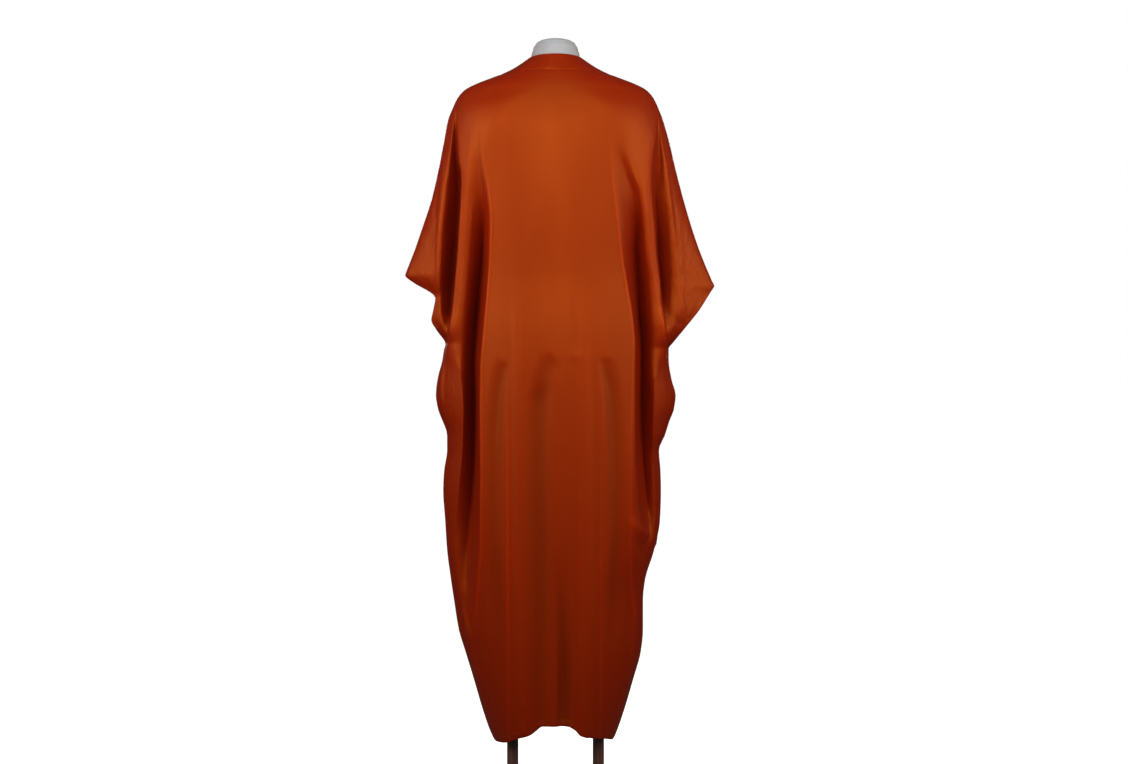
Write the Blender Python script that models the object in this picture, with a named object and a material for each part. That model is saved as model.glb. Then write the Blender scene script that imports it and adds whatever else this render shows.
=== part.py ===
"""A batwing kaftan on a limbless dress form, with two posts and a base plate.

Metres, +Z up, z = 0 is the floor. The front of the garment faces -Y and the wearer's left is +X.
The cloth is a thin wall. Each panel is a grid: rows run down from the neck and columns run across
from seam to seam. A hull gives the garment's rounded section at each height, and folds bite into it.
"""

import math
from bisect import bisect_right

import bmesh
import bpy
from mathutils import Vector

# Driving sizes
WALL = 0.0012
SEAM_GAP = 0.0003
BAND_GAP = 0.0004
NECK_Z = 1.512
BAND_Z = 1.476
HEM_BLEND_Z = 0.30
CUFF_GAPE = 0.022
MIDDLE_POWER = 2.2
EDGE_FADE = 0.012
FOLD_LEAN = 1.05
STEP = 0.0002

LEFT, RIGHT = 0, 1
CUFF_TIP_Z = (1.072, 1.050)
UNDERARM_Z = (0.932, 0.924)

LEAST_SPACING = 0.012
HEM_PASSES = 4
SHARP_ANGLE = math.radians(50)

FORM_CLEARANCE = 0.0006
FORM_SLACK = 0.0030
FORM_SHOULDER_Z = 1.430
FORM_BOTTOM_Z = 0.720
FORM_SEAM_FOLLOW = 0.5
FORM_NECK_INSET = 0.003
SEAM_COLUMNS = 3
STUB_HALF_WIDTH = 0.0487
POST_RADIUS = 0.0115
POST_X = 0.087
POST_SIDES = 24
BASE_SIZE = (0.34, 0.28, 0.008)
BASE_BEVEL = 0.002

# Garment outline: height, half width on the left, half width on the right
OUTLINE = (
    (1.512, 0.0520, 0.0520),
    (1.498, 0.0720, 0.0720),
    (1.488, 0.0880, 0.0880),
    (1.478, 0.1085, 0.1085),
    (1.468, 0.1350, 0.1350),
    (1.457, 0.1640, 0.1640),
    (1.447, 0.1836, 0.1836),
    (1.437, 0.1940, 0.1940),
    (1.427, 0.2010, 0.2010),
    (1.407, 0.2100, 0.2100),
    (1.387, 0.2180, 0.2180),
    (1.346, 0.2260, 0.2300),
    (1.285, 0.2380, 0.2445),
    (1.224, 0.2526, 0.2607),
    (1.163, 0.2730, 0.2790),
    (1.123, 0.2870, 0.2930),
    (1.082, 0.3030, 0.3095),
    (1.072, 0.3065, 0.3140),
    (1.061, 0.2950, 0.3185),
    (1.050, 0.2775, 0.3236),
    (1.041, 0.2607, 0.3175),
    (1.025, 0.2425, 0.3073),
    (1.000, 0.2465, 0.2910),
    (0.980, 0.2506, 0.2750),
    (0.960, 0.2404, 0.2587),
    (0.932, 0.2235, 0.2360),
    (0.924, 0.2262, 0.2300),
    (0.900, 0.2300, 0.2300),
    (0.859, 0.2400, 0.2360),
    (0.829, 0.2430, 0.2440),
    (0.798, 0.2380, 0.2400),
    (0.778, 0.2300, 0.2320),
    (0.747, 0.2200, 0.2220),
    (0.717, 0.2200, 0.2100),
    (0.676, 0.2260, 0.2130),
    (0.636, 0.2280, 0.2140),
    (0.575, 0.2240, 0.2120),
    (0.514, 0.2200, 0.2000),
    (0.453, 0.2120, 0.1816),
    (0.413, 0.2060, 0.1775),
    (0.352, 0.1960, 0.1775),
    (0.311, 0.1836, 0.1735),
    (0.250, 0.1650, 0.1570),
    (0.189, 0.1470, 0.1390),
    (0.149, 0.1330, 0.1250),
    (0.124, 0.1200, 0.1126),
)

# Hull section: height, where the edge's rounding starts, spread of the middle, y of the seams
SECTION = (
    (1.512, 0.000, 1.000, 0.000),
    (1.476, 0.000, 0.800, 0.000),
    (1.440, 0.020, 0.480, 0.000),
    (1.400, 0.090, 0.350, -0.001),
    (1.340, 0.130, 0.310, -0.003),
    (1.200, 0.160, 0.275, -0.008),
    (1.070, 0.175, 0.262, -0.012),
    (0.950, 0.175, 0.265, -0.006),
    (0.800, 0.155, 0.270, -0.002),
    (0.600, 0.120, 0.280, 0.000),
    (0.400, 0.060, 0.300, 0.000),
    (0.130, 0.000, 0.400, 0.000),
)

# Depth behind the seams: height, depth
BACK_DEPTH = (
    (1.512, 0.0580),
    (1.476, 0.0800),
    (1.440, 0.0980),
    (1.400, 0.1100),
    (1.360, 0.1165),
    (1.300, 0.1190),
    (1.100, 0.1210),
    (0.920, 0.1235),
    (0.800, 0.1220),
    (0.600, 0.1170),
    (0.400, 0.1110),
    (0.130, 0.1030),
)

# Depth before the seams: height, depth
FRONT_DEPTH = (
    (1.512, 0.0540),
    (1.476, 0.0640),
    (1.440, 0.0760),
    (1.400, 0.0910),
    (1.360, 0.1060),
    (1.300, 0.1280),
    (1.250, 0.1390),
    (1.200, 0.1410),
    (1.100, 0.1380),
    (0.900, 0.1310),
    (0.700, 0.1250),
    (0.400, 0.1150),
    (0.130, 0.1040),
)

# How far the front rows dip at the centre, for the V neck: height at the seam, dip
FRONT_DIP = (
    (1.512, 0.147),
    (1.476, 0.191),
    (1.100, 0.000),
)

# Folds: height, distance of the centre (left, right), width towards the middle, width towards the
# seam, bite as a share of the hull's depth (left, right)
BACK_SIDE_FOLD = (
    (1.476, 0.068, 0.068, 0.022, 0.022, 0.00, 0.00),
    (1.440, 0.119, 0.119, 0.030, 0.030, 0.00, 0.00),
    (1.360, 0.158, 0.158, 0.026, 0.028, 0.05, 0.05),
    (1.270, 0.156, 0.157, 0.022, 0.026, 0.35, 0.35),
    (1.200, 0.152, 0.153, 0.020, 0.026, 0.52, 0.52),
    (1.100, 0.157, 0.158, 0.018, 0.028, 0.68, 0.68),
    (0.980, 0.161, 0.164, 0.017, 0.030, 0.80, 0.80),
    (0.860, 0.167, 0.170, 0.016, 0.034, 0.78, 0.78),
    (0.740, 0.171, 0.174, 0.017, 0.028, 0.75, 0.75),
    (0.620, 0.178, 0.182, 0.020, 0.022, 0.70, 0.62),
    (0.550, 0.185, 0.191, 0.020, 0.018, 0.60, 0.35),
    (0.480, 0.190, 0.185, 0.020, 0.012, 0.40, 0.00),
    (0.420, 0.190, 0.168, 0.018, 0.010, 0.15, 0.00),
    (0.350, 0.176, 0.160, 0.016, 0.010, 0.00, 0.00),
    (0.120, 0.086, 0.080, 0.020, 0.015, 0.00, 0.00),
)
BACK_WING_FOLD = (
    (1.476, 0.101, 0.101, 0.010, 0.008, 0.00, 0.00),
    (1.440, 0.173, 0.173, 0.012, 0.010, 0.00, 0.00),
    (1.400, 0.202, 0.202, 0.012, 0.010, 0.10, 0.10),
    (1.346, 0.208, 0.209, 0.012, 0.012, 0.45, 0.45),
    (1.270, 0.207, 0.207, 0.016, 0.016, 0.70, 0.70),
    (1.200, 0.207, 0.207, 0.018, 0.024, 0.85, 0.85),
    (1.100, 0.212, 0.212, 0.020, 0.030, 0.90, 0.90),
    (1.040, 0.219, 0.220, 0.019, 0.026, 0.90, 0.90),
    (1.000, 0.224, 0.226, 0.018, 0.020, 0.80, 0.85),
    (0.955, 0.227, 0.234, 0.014, 0.012, 0.40, 0.50),
    (0.920, 0.222, 0.228, 0.010, 0.008, 0.00, 0.00),
    (0.700, 0.206, 0.202, 0.008, 0.006, 0.00, 0.00),
    (0.120, 0.112, 0.105, 0.008, 0.006, 0.00, 0.00),
)
FRONT_SIDE_FOLD = (
    (1.476, 0.068, 0.068, 0.022, 0.022, 0.00, 0.00),
    (1.440, 0.118, 0.118, 0.030, 0.030, 0.00, 0.00),
    (1.340, 0.155, 0.158, 0.026, 0.030, 0.00, 0.00),
    (1.240, 0.156, 0.158, 0.022, 0.028, 0.22, 0.18),
    (1.120, 0.160, 0.162, 0.020, 0.030, 0.48, 0.44),
    (1.000, 0.164, 0.166, 0.018, 0.030, 0.62, 0.58),
    (0.880, 0.168, 0.166, 0.018, 0.032, 0.62, 0.66),
    (0.740, 0.170, 0.172, 0.018, 0.026, 0.58, 0.60),
    (0.600, 0.180, 0.178, 0.020, 0.020, 0.50, 0.42),
    (0.500, 0.188, 0.176, 0.018, 0.014, 0.32, 0.15),
    (0.400, 0.182, 0.160, 0.015, 0.012, 0.08, 0.00),
    (0.120, 0.092, 0.086, 0.015, 0.015, 0.00, 0.00),
)
FRONT_WING_FOLD = (
    (1.476, 0.101, 0.101, 0.010, 0.008, 0.00, 0.00),
    (1.440, 0.173, 0.173, 0.012, 0.010, 0.00, 0.00),
    (1.380, 0.203, 0.204, 0.012, 0.010, 0.10, 0.10),
    (1.300, 0.207, 0.208, 0.014, 0.016, 0.50, 0.45),
    (1.200, 0.209, 0.208, 0.018, 0.022, 0.75, 0.70),
    (1.100, 0.214, 0.214, 0.020, 0.028, 0.80, 0.78),
    (1.000, 0.224, 0.228, 0.018, 0.018, 0.62, 0.70),
    (0.955, 0.226, 0.233, 0.012, 0.012, 0.25, 0.30),
    (0.920, 0.220, 0.226, 0.008, 0.008, 0.00, 0.00),
    (0.700, 0.206, 0.202, 0.008, 0.006, 0.00, 0.00),
    (0.120, 0.112, 0.105, 0.008, 0.006, 0.00, 0.00),
)

# Soft long folds: x at the top and at the hem, top and full height, half width, rise (a dent is negative)
BACK_SOFT_FOLDS = (
    (0.022, -0.015, 0.98, 0.45, 0.034, -0.012),
    (0.094, 0.092, 0.82, 0.66, 0.016, 0.004),
    (-0.093, -0.092, 0.82, 0.66, 0.016, 0.004),
)
FRONT_SOFT_FOLDS = (
    (-0.010, 0.012, 1.12, 0.70, 0.034, -0.012),
    (0.085, 0.078, 1.18, 0.80, 0.024, 0.006),
    (-0.080, -0.082, 1.18, 0.80, 0.024, 0.006),
)

# Hem: distance from the centre line, height
BACK_HEM = ((0.000, 0.167), (0.020, 0.165), (0.035, 0.153), (0.050, 0.143), (0.080, 0.138), (0.120, 0.131))
FRONT_HEM = ((0.000, 0.150), (0.060, 0.142), (0.120, 0.131))

# Row heights at the seams, below the neck band's seam, and shares from the lowest of them to the hem
ROWS = (
    1.462, 1.447, FORM_SHOULDER_Z, 1.405, 1.370, 1.330, 1.290, 1.250, 1.210, 1.170, 1.130, 1.100,
    1.072, 1.061, 1.050, 1.035, 1.010, 0.980, 0.955, 0.932, 0.924, 0.905,
    0.860, 0.810, 0.760, 0.710, 0.660, 0.610, 0.560, 0.510, 0.460, 0.410, 0.360, HEM_BLEND_Z,
)
HEM_SHARES = (0.30, 0.60, 0.85, 1.00)
BAND_ROWS = (NECK_Z, 1.495, BAND_Z)

# Columns of one half: shares up to the side fold, steps across the two folds, shares on to the seam
BACK_COLUMNS = (
    (0.00, 0.22, 0.44, 0.60, 0.68, 0.78, 1.00),
    (-0.72, -0.45, -0.18, 0.12, 0.42, 0.70, 1.00),
    (-0.60, -0.10, 0.45, 1.00),
    (0.60, 1.00),
)
FRONT_COLUMNS = (
    (0.00, 0.26, 0.52, 0.74, 1.00),
    (-0.65, -0.25, 0.20, 0.60, 1.00),
    (-0.50, 0.20, 1.00),
    (0.60, 1.00),
)

# Form below the shoulders: height, half width, depth behind, depth before
FORM_TORSO = (
    (1.400, 0.1945, 0.1060, 0.0870),
    (1.350, 0.1860, 0.1130, 0.1060),
    (1.300, 0.1720, 0.1130, 0.1230),
    (1.250, 0.1570, 0.1090, 0.1320),
    (1.190, 0.1440, 0.1000, 0.1270),
    (1.110, 0.1270, 0.0860, 0.1010),
    (1.030, 0.1400, 0.0960, 0.1030),
    (0.960, 0.1450, 0.1120, 0.1050),
    (0.900, 0.1480, 0.1170, 0.1030),
    (0.840, 0.1480, 0.1130, 0.0990),
    (0.780, 0.1450, 0.1040, 0.0940),
    (0.735, 0.1400, 0.0970, 0.0890),
    (0.724, 0.1360, 0.0940, 0.0860),
    (FORM_BOTTOM_Z, 0.1280, 0.0880, 0.0800),
)

# Form above the neck band: height, half width, share of the front dip that is left
FORM_NECK = (
    (1.5145, 0.0494, 0.70),
    (1.5170, 0.0491, 0.40),
    (1.5200, STUB_HALF_WIDTH, 0.15),
    (1.5250, 0.0467, 0.00),
    (1.5290, 0.0457, 0.00),
    (1.5330, 0.0446, 0.00),
    (1.5370, 0.0416, 0.00),
    (1.5410, 0.0396, 0.00),
    (1.5450, 0.0335, 0.00),
    (1.5480, 0.0240, 0.00),
)


class Curve:
    """A smooth curve through one column of a table, which never overshoots between its rows."""

    def __init__(self, table, column):
        rows = sorted(table)
        self.at = [row[0] for row in rows]
        self.value = [row[column] for row in rows]
        rises = [
            (self.value[i + 1] - self.value[i]) / (self.at[i + 1] - self.at[i])
            for i in range(len(rows) - 1)
        ]
        self.slope = [rises[0]] + [mean_rise(a, b) for a, b in zip(rises, rises[1:])] + [rises[-1]]

    def __call__(self, at):
        at = min(max(at, self.at[0]), self.at[-1])
        i = min(bisect_right(self.at, at), len(self.at) - 1) - 1
        gap = self.at[i + 1] - self.at[i]
        t = (at - self.at[i]) / gap
        return (
            (1 + 2 * t) * (1 - t) ** 2 * self.value[i]
            + t * (1 - t) ** 2 * gap * self.slope[i]
            + t * t * (3 - 2 * t) * self.value[i + 1]
            + t * t * (t - 1) * gap * self.slope[i + 1]
        )


def mean_rise(a, b):
    """The slope at a table's row from the slopes on its two sides."""
    return 2 * a * b / (a + b) if a * b > 0 else 0


def ease(t):
    """0 below 0, 1 above 1 and a smooth rise between."""
    t = min(max(t, 0), 1)
    return t * t * (3 - 2 * t)


class Fold:
    """A long fold that bites into the hull, mirrored on the two hands with its own sizes on each."""

    def __init__(self, table):
        self.centre = (Curve(table, 1), Curve(table, 2))
        self.inner = Curve(table, 3)
        self.outer = Curve(table, 4)
        self.bite = (Curve(table, 5), Curve(table, 6))

    def place(self, hand, z, step):
        """Distance from the centre line of a step from -1 to 1 across the fold."""
        width = self.inner(z) if step < 0 else self.outer(z)
        return self.centre[hand](z) + step * width


class Face:
    """One side of the garment: its depth, its folds, its hem and the columns of its grid."""

    def __init__(self, sign, depth, folds, soft_folds, hem, columns):
        self.sign = sign
        self.depth = Curve(depth, 1)
        self.folds = [Fold(table) for table in folds]
        self.soft_folds = soft_folds
        self.hem = Curve(hem, 1)
        self.columns = columns


OUTER_EDGE = (Curve(OUTLINE, 1), Curve(OUTLINE, 2))
ROUNDING = Curve(SECTION, 1)
SPREAD = Curve(SECTION, 2)
SEAM_Y = Curve(SECTION, 3)
DIP = Curve(FRONT_DIP, 1)
BACK = Face(1, BACK_DEPTH, (BACK_SIDE_FOLD, BACK_WING_FOLD), BACK_SOFT_FOLDS, BACK_HEM, BACK_COLUMNS)
FRONT = Face(-1, FRONT_DEPTH, (FRONT_SIDE_FOLD, FRONT_WING_FOLD), FRONT_SOFT_FOLDS, FRONT_HEM, FRONT_COLUMNS)


def cuff_gape(hand, z):
    """How far the hull runs on past the cut edge of the cuff, which holds the cuff open."""
    t = (z - UNDERARM_Z[hand]) / (CUFF_TIP_Z[hand] - UNDERARM_Z[hand])
    return CUFF_GAPE * math.sin(math.pi * t) if 0 < t < 1 else 0


def hull_share(reach, edge, z):
    """Depth of the unfolded hull as a share of its depth at the centre line."""
    start = ROUNDING(z)
    middle = math.exp(-((reach / SPREAD(z)) ** MIDDLE_POWER))
    out = min(max((reach - start) / (edge - start), 0), 1)
    return middle * math.sqrt(1 - out * out)


def soft_rise(face, x, z):
    """Height of the soft long folds at one place."""
    rise = 0
    for top_x, low_x, top_z, full_z, half_width, height in face.soft_folds:
        down = (top_z - z) / (top_z - HEM_BLEND_Z)
        centre = top_x + (low_x - top_x) * ease(down)
        t = (x - centre) / half_width
        if abs(t) < 1 and z < top_z:
            rise += height * ease((top_z - z) / (top_z - full_z)) * (1 + math.cos(math.pi * t)) / 2
    return rise


def cloth_point(face, x, z):
    """The cloth's outer face where its flat column stands at x, at height z."""
    hand = LEFT if x >= 0 else RIGHT
    reach = abs(x)
    edge = OUTER_EDGE[hand](z) + cuff_gape(hand, z)
    depth = face.depth(z) * hull_share(reach, edge, z)
    fade = min((edge - min(reach, edge)) / EDGE_FADE, 1)
    shift = 0
    for fold in face.folds:
        centre = fold.centre[hand](z)
        width = fold.inner(z) if reach < centre else fold.outer(z)
        t = (reach - centre) / width
        if abs(t) < 1:
            bite = fold.bite[hand](z)
            depth *= 1 - bite * (1 + math.cos(math.pi * t)) / 2
            shift += FOLD_LEAN * bite * fade * width / (2 * math.pi) * math.sin(2 * math.pi * t)
    depth += soft_rise(face, x, z)
    y = SEAM_Y(z) + face.sign * (SEAM_GAP / 2 + depth)
    return Vector((math.copysign(reach + shift, x), y, z))


def cloth_normal(face, x, z):
    """The direction out of the cloth. On a sewn edge it lies in the seam's plane."""
    hand = LEFT if x >= 0 else RIGHT
    turn = 1 if hand == LEFT else -1
    if OUTER_EDGE[hand](z) + cuff_gape(hand, z) - abs(x) < STEP:
        rise = (OUTER_EDGE[hand](z + STEP) - OUTER_EDGE[hand](z - STEP)) / (2 * STEP)
        return Vector((turn, 0, -rise)).normalized()
    across = cloth_point(face, x + STEP, z) - cloth_point(face, x - STEP, z)
    up = cloth_point(face, x, z + STEP) - cloth_point(face, x, z - STEP)
    return up.cross(across).normalized() * face.sign


def half_columns(face, hand, z):
    """Distances of one row's columns from the centre line, out to the edge."""
    edge = OUTER_EDGE[hand](z)
    middle, side_steps, wing_steps, last = face.columns
    side, wing = face.folds
    places = [side.place(hand, z, -1) * share for share in middle]
    places += [side.place(hand, z, step) for step in side_steps]
    places += [wing.place(hand, z, step) for step in wing_steps]
    places += [places[-1] + (edge - places[-1]) * share for share in last]
    least = LEAST_SPACING * edge
    for i in range(1, len(places)):
        places[i] = max(places[i], places[i - 1] + least)
    places[-1] = edge
    for i in reversed(range(len(places) - 1)):
        places[i] = min(places[i], places[i + 1] - least)
    return places


def row_columns(face, z):
    """Columns of one row from the right edge to the left one. They keep their shares on the shoulders."""
    source = BAND_Z if z >= FORM_SHOULDER_Z else z
    halves = []
    for hand in (LEFT, RIGHT):
        scale = OUTER_EDGE[hand](z) / OUTER_EDGE[hand](source)
        halves.append([place * scale for place in half_columns(face, hand, source)])
    return [-place for place in halves[RIGHT][:0:-1]] + halves[LEFT]


def share_of(x, z):
    """How far out a column stands at height z, from 0 at the centre line to 1 at the edge."""
    return abs(x) / OUTER_EDGE[LEFT if x >= 0 else RIGHT](z)


def row_height(face, x, z):
    """Height of a column on a row that has height z at the seams."""
    if face is FRONT:
        return z - DIP(z) * (1 - share_of(x, z))
    return z


def panel_rows(face):
    """The grid of one panel as rows of x and z, from the neck band's seam down to the hem."""
    rows = []
    for z in (BAND_Z - BAND_GAP,) + ROWS:
        rows.append([(x, row_height(face, x, z)) for x in row_columns(face, z)])
    for share in HEM_SHARES:
        rows.append(hem_row(face, share))
    return rows


def hem_row(face, share):
    """A row that comes down from the last level row towards the hem's line."""
    row = []
    for x in row_columns(face, HEM_BLEND_Z):
        hand = LEFT if x >= 0 else RIGHT
        part = x / OUTER_EDGE[hand](HEM_BLEND_Z)
        z = HEM_BLEND_Z
        for _ in range(HEM_PASSES):
            here = part * OUTER_EDGE[hand](z)
            z = HEM_BLEND_Z - share * (HEM_BLEND_Z - face.hem(abs(here)))
        row.append((part * OUTER_EDGE[hand](z), z))
    return row


def wall_grids(face, rows):
    """Outer points of a grid, and the inner ones one wall thickness under them."""
    outer = [[cloth_point(face, x, z) for x, z in row] for row in rows]
    inner = [
        [point - WALL * cloth_normal(face, x, z) for point, (x, z) in zip(points, row)]
        for points, row in zip(outer, rows)
    ]
    return outer, inner


def shell_object(name, outer, inner, material, ring=False):
    """A closed wall between two grids of points. A ring's rows close on themselves."""
    rows = len(outer)
    columns = len(outer[0])
    mesh = bmesh.new()
    grids = [[[mesh.verts.new(point) for point in row] for row in grid] for grid in (outer, inner)]
    across = columns if ring else columns - 1
    for i in range(rows - 1):
        for j in range(across):
            k = (j + 1) % columns
            for grid in grids:
                mesh.faces.new((grid[i][j], grid[i][k], grid[i + 1][k], grid[i + 1][j]))
    top, under = grids
    for i in (0, rows - 1):
        for j in range(across):
            k = (j + 1) % columns
            mesh.faces.new((top[i][j], top[i][k], under[i][k], under[i][j]))
    for j in () if ring else (0, columns - 1):
        for i in range(rows - 1):
            mesh.faces.new((top[i][j], top[i + 1][j], under[i + 1][j], under[i][j]))
    return solid_object(name, mesh, material)


def solid_object(name, mesh, material):
    """An object from a closed mesh, with its faces turned out and shaded smooth."""
    bmesh.ops.recalc_face_normals(mesh, faces=mesh.faces)
    data = bpy.data.meshes.new(name)
    mesh.to_mesh(data)
    mesh.free()
    data.materials.append(material)
    data.shade_smooth()
    data.set_sharp_from_angle(angle=SHARP_ANGLE)
    item = bpy.data.objects.new(name, data)
    bpy.context.scene.collection.objects.link(item)
    return item


def build_panel(name, face, material):
    outer, inner = wall_grids(face, panel_rows(face))
    return shell_object(name, outer, inner, material)


def ring_shares(z):
    """Columns of a whole ring at height z: each has its face and its signed share of the half width."""
    ring = [(BACK, math.copysign(share_of(x, z), x)) for x in row_columns(BACK, z)]
    front = [(FRONT, math.copysign(share_of(x, z), x)) for x in row_columns(FRONT, z)]
    return ring + front[-2:0:-1]


def build_band(material):
    """The neck band, one ring on the hull between the neck's edge and the panels."""
    shares = ring_shares(BAND_Z)
    outer, inner = [], []
    for z in BAND_ROWS:
        points, under = [], []
        for face, share in shares:
            x = share * OUTER_EDGE[LEFT](z)
            height = row_height(face, x, z)
            point = cloth_point(face, x, height)
            if abs(share) > 1 - STEP:
                point.y = SEAM_Y(z)
            points.append(point)
            under.append(point - WALL * cloth_normal(face, x, height))
        outer.append(points)
        inner.append(under)
    return shell_object("neck_band", outer, inner, material, ring=True)


def form_columns():
    """Every column of the cloth near the seams and every second one between, so no facet stands out."""
    shares = ring_shares(BAND_Z)
    back = len(row_columns(BACK, BAND_Z))
    picked = []
    for start, stop in ((0, back - 1), (back - 1, len(shares))):
        span = stop - start
        for i in range(span):
            from_end = min(i, span - i)
            if from_end <= SEAM_COLUMNS or (i - span // 2) % 2 == 0:
                picked.append(shares[start + i])
    return picked


def form_shoulder_ring(columns, z):
    """A ring of the form just under the cloth."""
    ring = []
    for face, share in columns:
        x = share * OUTER_EDGE[LEFT](z)
        height = row_height(face, x, z)
        point = cloth_point(face, x, height)
        depth = WALL + FORM_CLEARANCE + FORM_SLACK * math.sqrt(max(1 - abs(share), 0))
        if abs(share) > 1 - STEP:
            point.y = SEAM_Y(z)
        ring.append(point - depth * cloth_normal(face, x, height))
    return ring


def form_neck_ring(columns, z, half_width, dip_share):
    """A ring of the neck stub. At the front it dips to the chest that the V neck shows."""
    ring = []
    for face, share in columns:
        height = z - dip_share * DIP(NECK_Z) * (1 - abs(share)) if face is FRONT else z
        depth = (face.depth(height) - FORM_NECK_INSET) * half_width / STUB_HALF_WIDTH
        x = share * half_width
        hull = OUTER_EDGE[LEFT](height) if height < NECK_Z else half_width
        y = depth * hull_share(abs(x), hull, height)
        ring.append(Vector((x, face.sign * y, height)))
    return ring


def form_torso_ring(columns, z, curves):
    """A ring of the torso, a plain oval with its own depth before and behind."""
    half_width, behind, before = curves
    ring = []
    for face, share in columns:
        height = z - DIP(z) * (1 - abs(share)) if face is FRONT else z
        depth = behind(height) if face is BACK else before(height)
        x = share * half_width(z)
        y = depth * math.sqrt(max(1 - (x / half_width(height)) ** 2, 0))
        ring.append(Vector((x, SEAM_Y(z) * FORM_SEAM_FOLLOW + face.sign * y, height)))
    return ring


def build_form(material):
    """The covered torso and neck stub, one smooth closed solid."""
    columns = form_columns()
    rings = [form_neck_ring(columns, *row) for row in reversed(FORM_NECK)]
    shoulder_rows = [z for z in BAND_ROWS + ROWS if z >= FORM_SHOULDER_Z]
    rings += [form_shoulder_ring(columns, z) for z in shoulder_rows]
    curves = [Curve(FORM_TORSO, column) for column in (1, 2, 3)]
    rings += [form_torso_ring(columns, row[0], curves) for row in FORM_TORSO]
    mesh = bmesh.new()
    grid = [[mesh.verts.new(point) for point in ring] for ring in rings]
    count = len(columns)
    for upper, lower in zip(grid, grid[1:]):
        for j in range(count):
            k = (j + 1) % count
            mesh.faces.new((upper[j], upper[k], lower[k], lower[j]))
    mesh.faces.new(grid[0])
    mesh.faces.new(grid[-1])
    return solid_object("form", mesh, material)


def build_post(name, x, material):
    """A round post from the base plate up to the form."""
    low = BASE_SIZE[2] + SEAM_GAP
    high = FORM_BOTTOM_Z - SEAM_GAP
    mesh = bmesh.new()
    bmesh.ops.create_cone(
        mesh, cap_ends=True, segments=POST_SIDES, radius1=POST_RADIUS, radius2=POST_RADIUS, depth=high - low
    )
    bmesh.ops.translate(mesh, verts=mesh.verts, vec=(x, 0, (high + low) / 2))
    return solid_object(name, mesh, material)


def build_base(material):
    """The flat plate that the part stands on, with eased edges."""
    width, depth, height = BASE_SIZE
    mesh = bmesh.new()
    bmesh.ops.create_cube(mesh, size=1)
    bmesh.ops.scale(mesh, verts=mesh.verts, vec=BASE_SIZE)
    bmesh.ops.translate(mesh, verts=mesh.verts, vec=(0, 0, height / 2))
    item = solid_object("base", mesh, material)
    bevel = item.modifiers.new("eased edges", "BEVEL")
    bevel.width = BASE_BEVEL
    bevel.segments = 2
    return item


def make_material(name, colour, roughness, metallic=0.0):
    material = bpy.data.materials.new(name)
    material.use_nodes = True
    shader = material.node_tree.nodes["Principled BSDF"]
    shader.inputs["Base Color"].default_value = (*colour, 1)
    shader.inputs["Roughness"].default_value = roughness
    shader.inputs["Metallic"].default_value = metallic
    return material


def main():
    for item in list(bpy.data.objects):
        bpy.data.objects.remove(item, do_unlink=True)
    satin = make_material("burnt orange satin", (0.40, 0.068, 0.008), 0.42)
    linen = make_material("pale linen", (0.56, 0.50, 0.54), 0.85)
    wood = make_material("dark polished wood", (0.035, 0.015, 0.011), 0.25)
    steel = make_material("dark base enamel", (0.03, 0.022, 0.02), 0.35, 0.2)
    build_panel("back", BACK, satin)
    build_panel("front", FRONT, satin)
    build_band(satin)
    build_form(linen)
    build_post("post_left", POST_X, wood)
    build_post("post_right", -POST_X, wood)
    build_base(steel)


main()
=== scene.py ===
# The looks of a batwing kaftan on a dress form: satin cloth with its folds and seams, the covered
# form, the stand and the light. Metres, +Z up, z = 0 is the floor. The garment's front faces -Y and
# the wearer's left is +X. The camera looks at the back.
import math

import bmesh
import bpy
import numpy as np
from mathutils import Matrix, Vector


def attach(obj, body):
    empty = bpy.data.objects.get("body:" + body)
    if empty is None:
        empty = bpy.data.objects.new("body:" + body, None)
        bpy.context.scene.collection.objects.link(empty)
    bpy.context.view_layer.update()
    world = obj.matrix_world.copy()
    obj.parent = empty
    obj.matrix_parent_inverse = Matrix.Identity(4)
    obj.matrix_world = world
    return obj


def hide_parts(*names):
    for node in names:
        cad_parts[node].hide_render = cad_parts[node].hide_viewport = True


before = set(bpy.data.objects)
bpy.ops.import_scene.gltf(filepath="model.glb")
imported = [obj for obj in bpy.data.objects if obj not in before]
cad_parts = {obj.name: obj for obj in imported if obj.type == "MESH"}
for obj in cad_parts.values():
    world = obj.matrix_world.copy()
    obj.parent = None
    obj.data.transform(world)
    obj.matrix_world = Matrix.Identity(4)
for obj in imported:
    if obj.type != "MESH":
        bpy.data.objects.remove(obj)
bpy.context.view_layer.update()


def metres(value):
    """A number or a table of numbers, turned from millimetres to metres. Words stay as they are."""
    if isinstance(value, str):
        return value
    if isinstance(value, tuple):
        return tuple(metres(part) for part in value)
    return round(value / 1000, 7)


def fold_rows(rest, *rows):
    """A fold's table with its five lengths turned to metres. A row that is short ends as the rest does."""
    return [metres(row[:5]) + row[5:] + rest[len(row) - 5:] for row in rows]


# Driving sizes, as in the part
SEAM_GAP = 0.0003
BAND_GAP = 0.0004
NECK_Z = 1.512
BAND_Z = 1.476
HEM_BLEND_Z = 0.30
CUFF_GAPE = 0.022
CUFF_GAPE_POWER = 1.6
MIDDLE_POWER = 2.2
STEP = 0.0002
LEFT, RIGHT = 0, 1
CUFF_TIP_Z = (1.072, 1.050)
UNDERARM_Z = (0.932, 0.924)
STUB_HALF_WIDTH = 0.0487
FORM_SHOULDER_Z = 1.430

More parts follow.
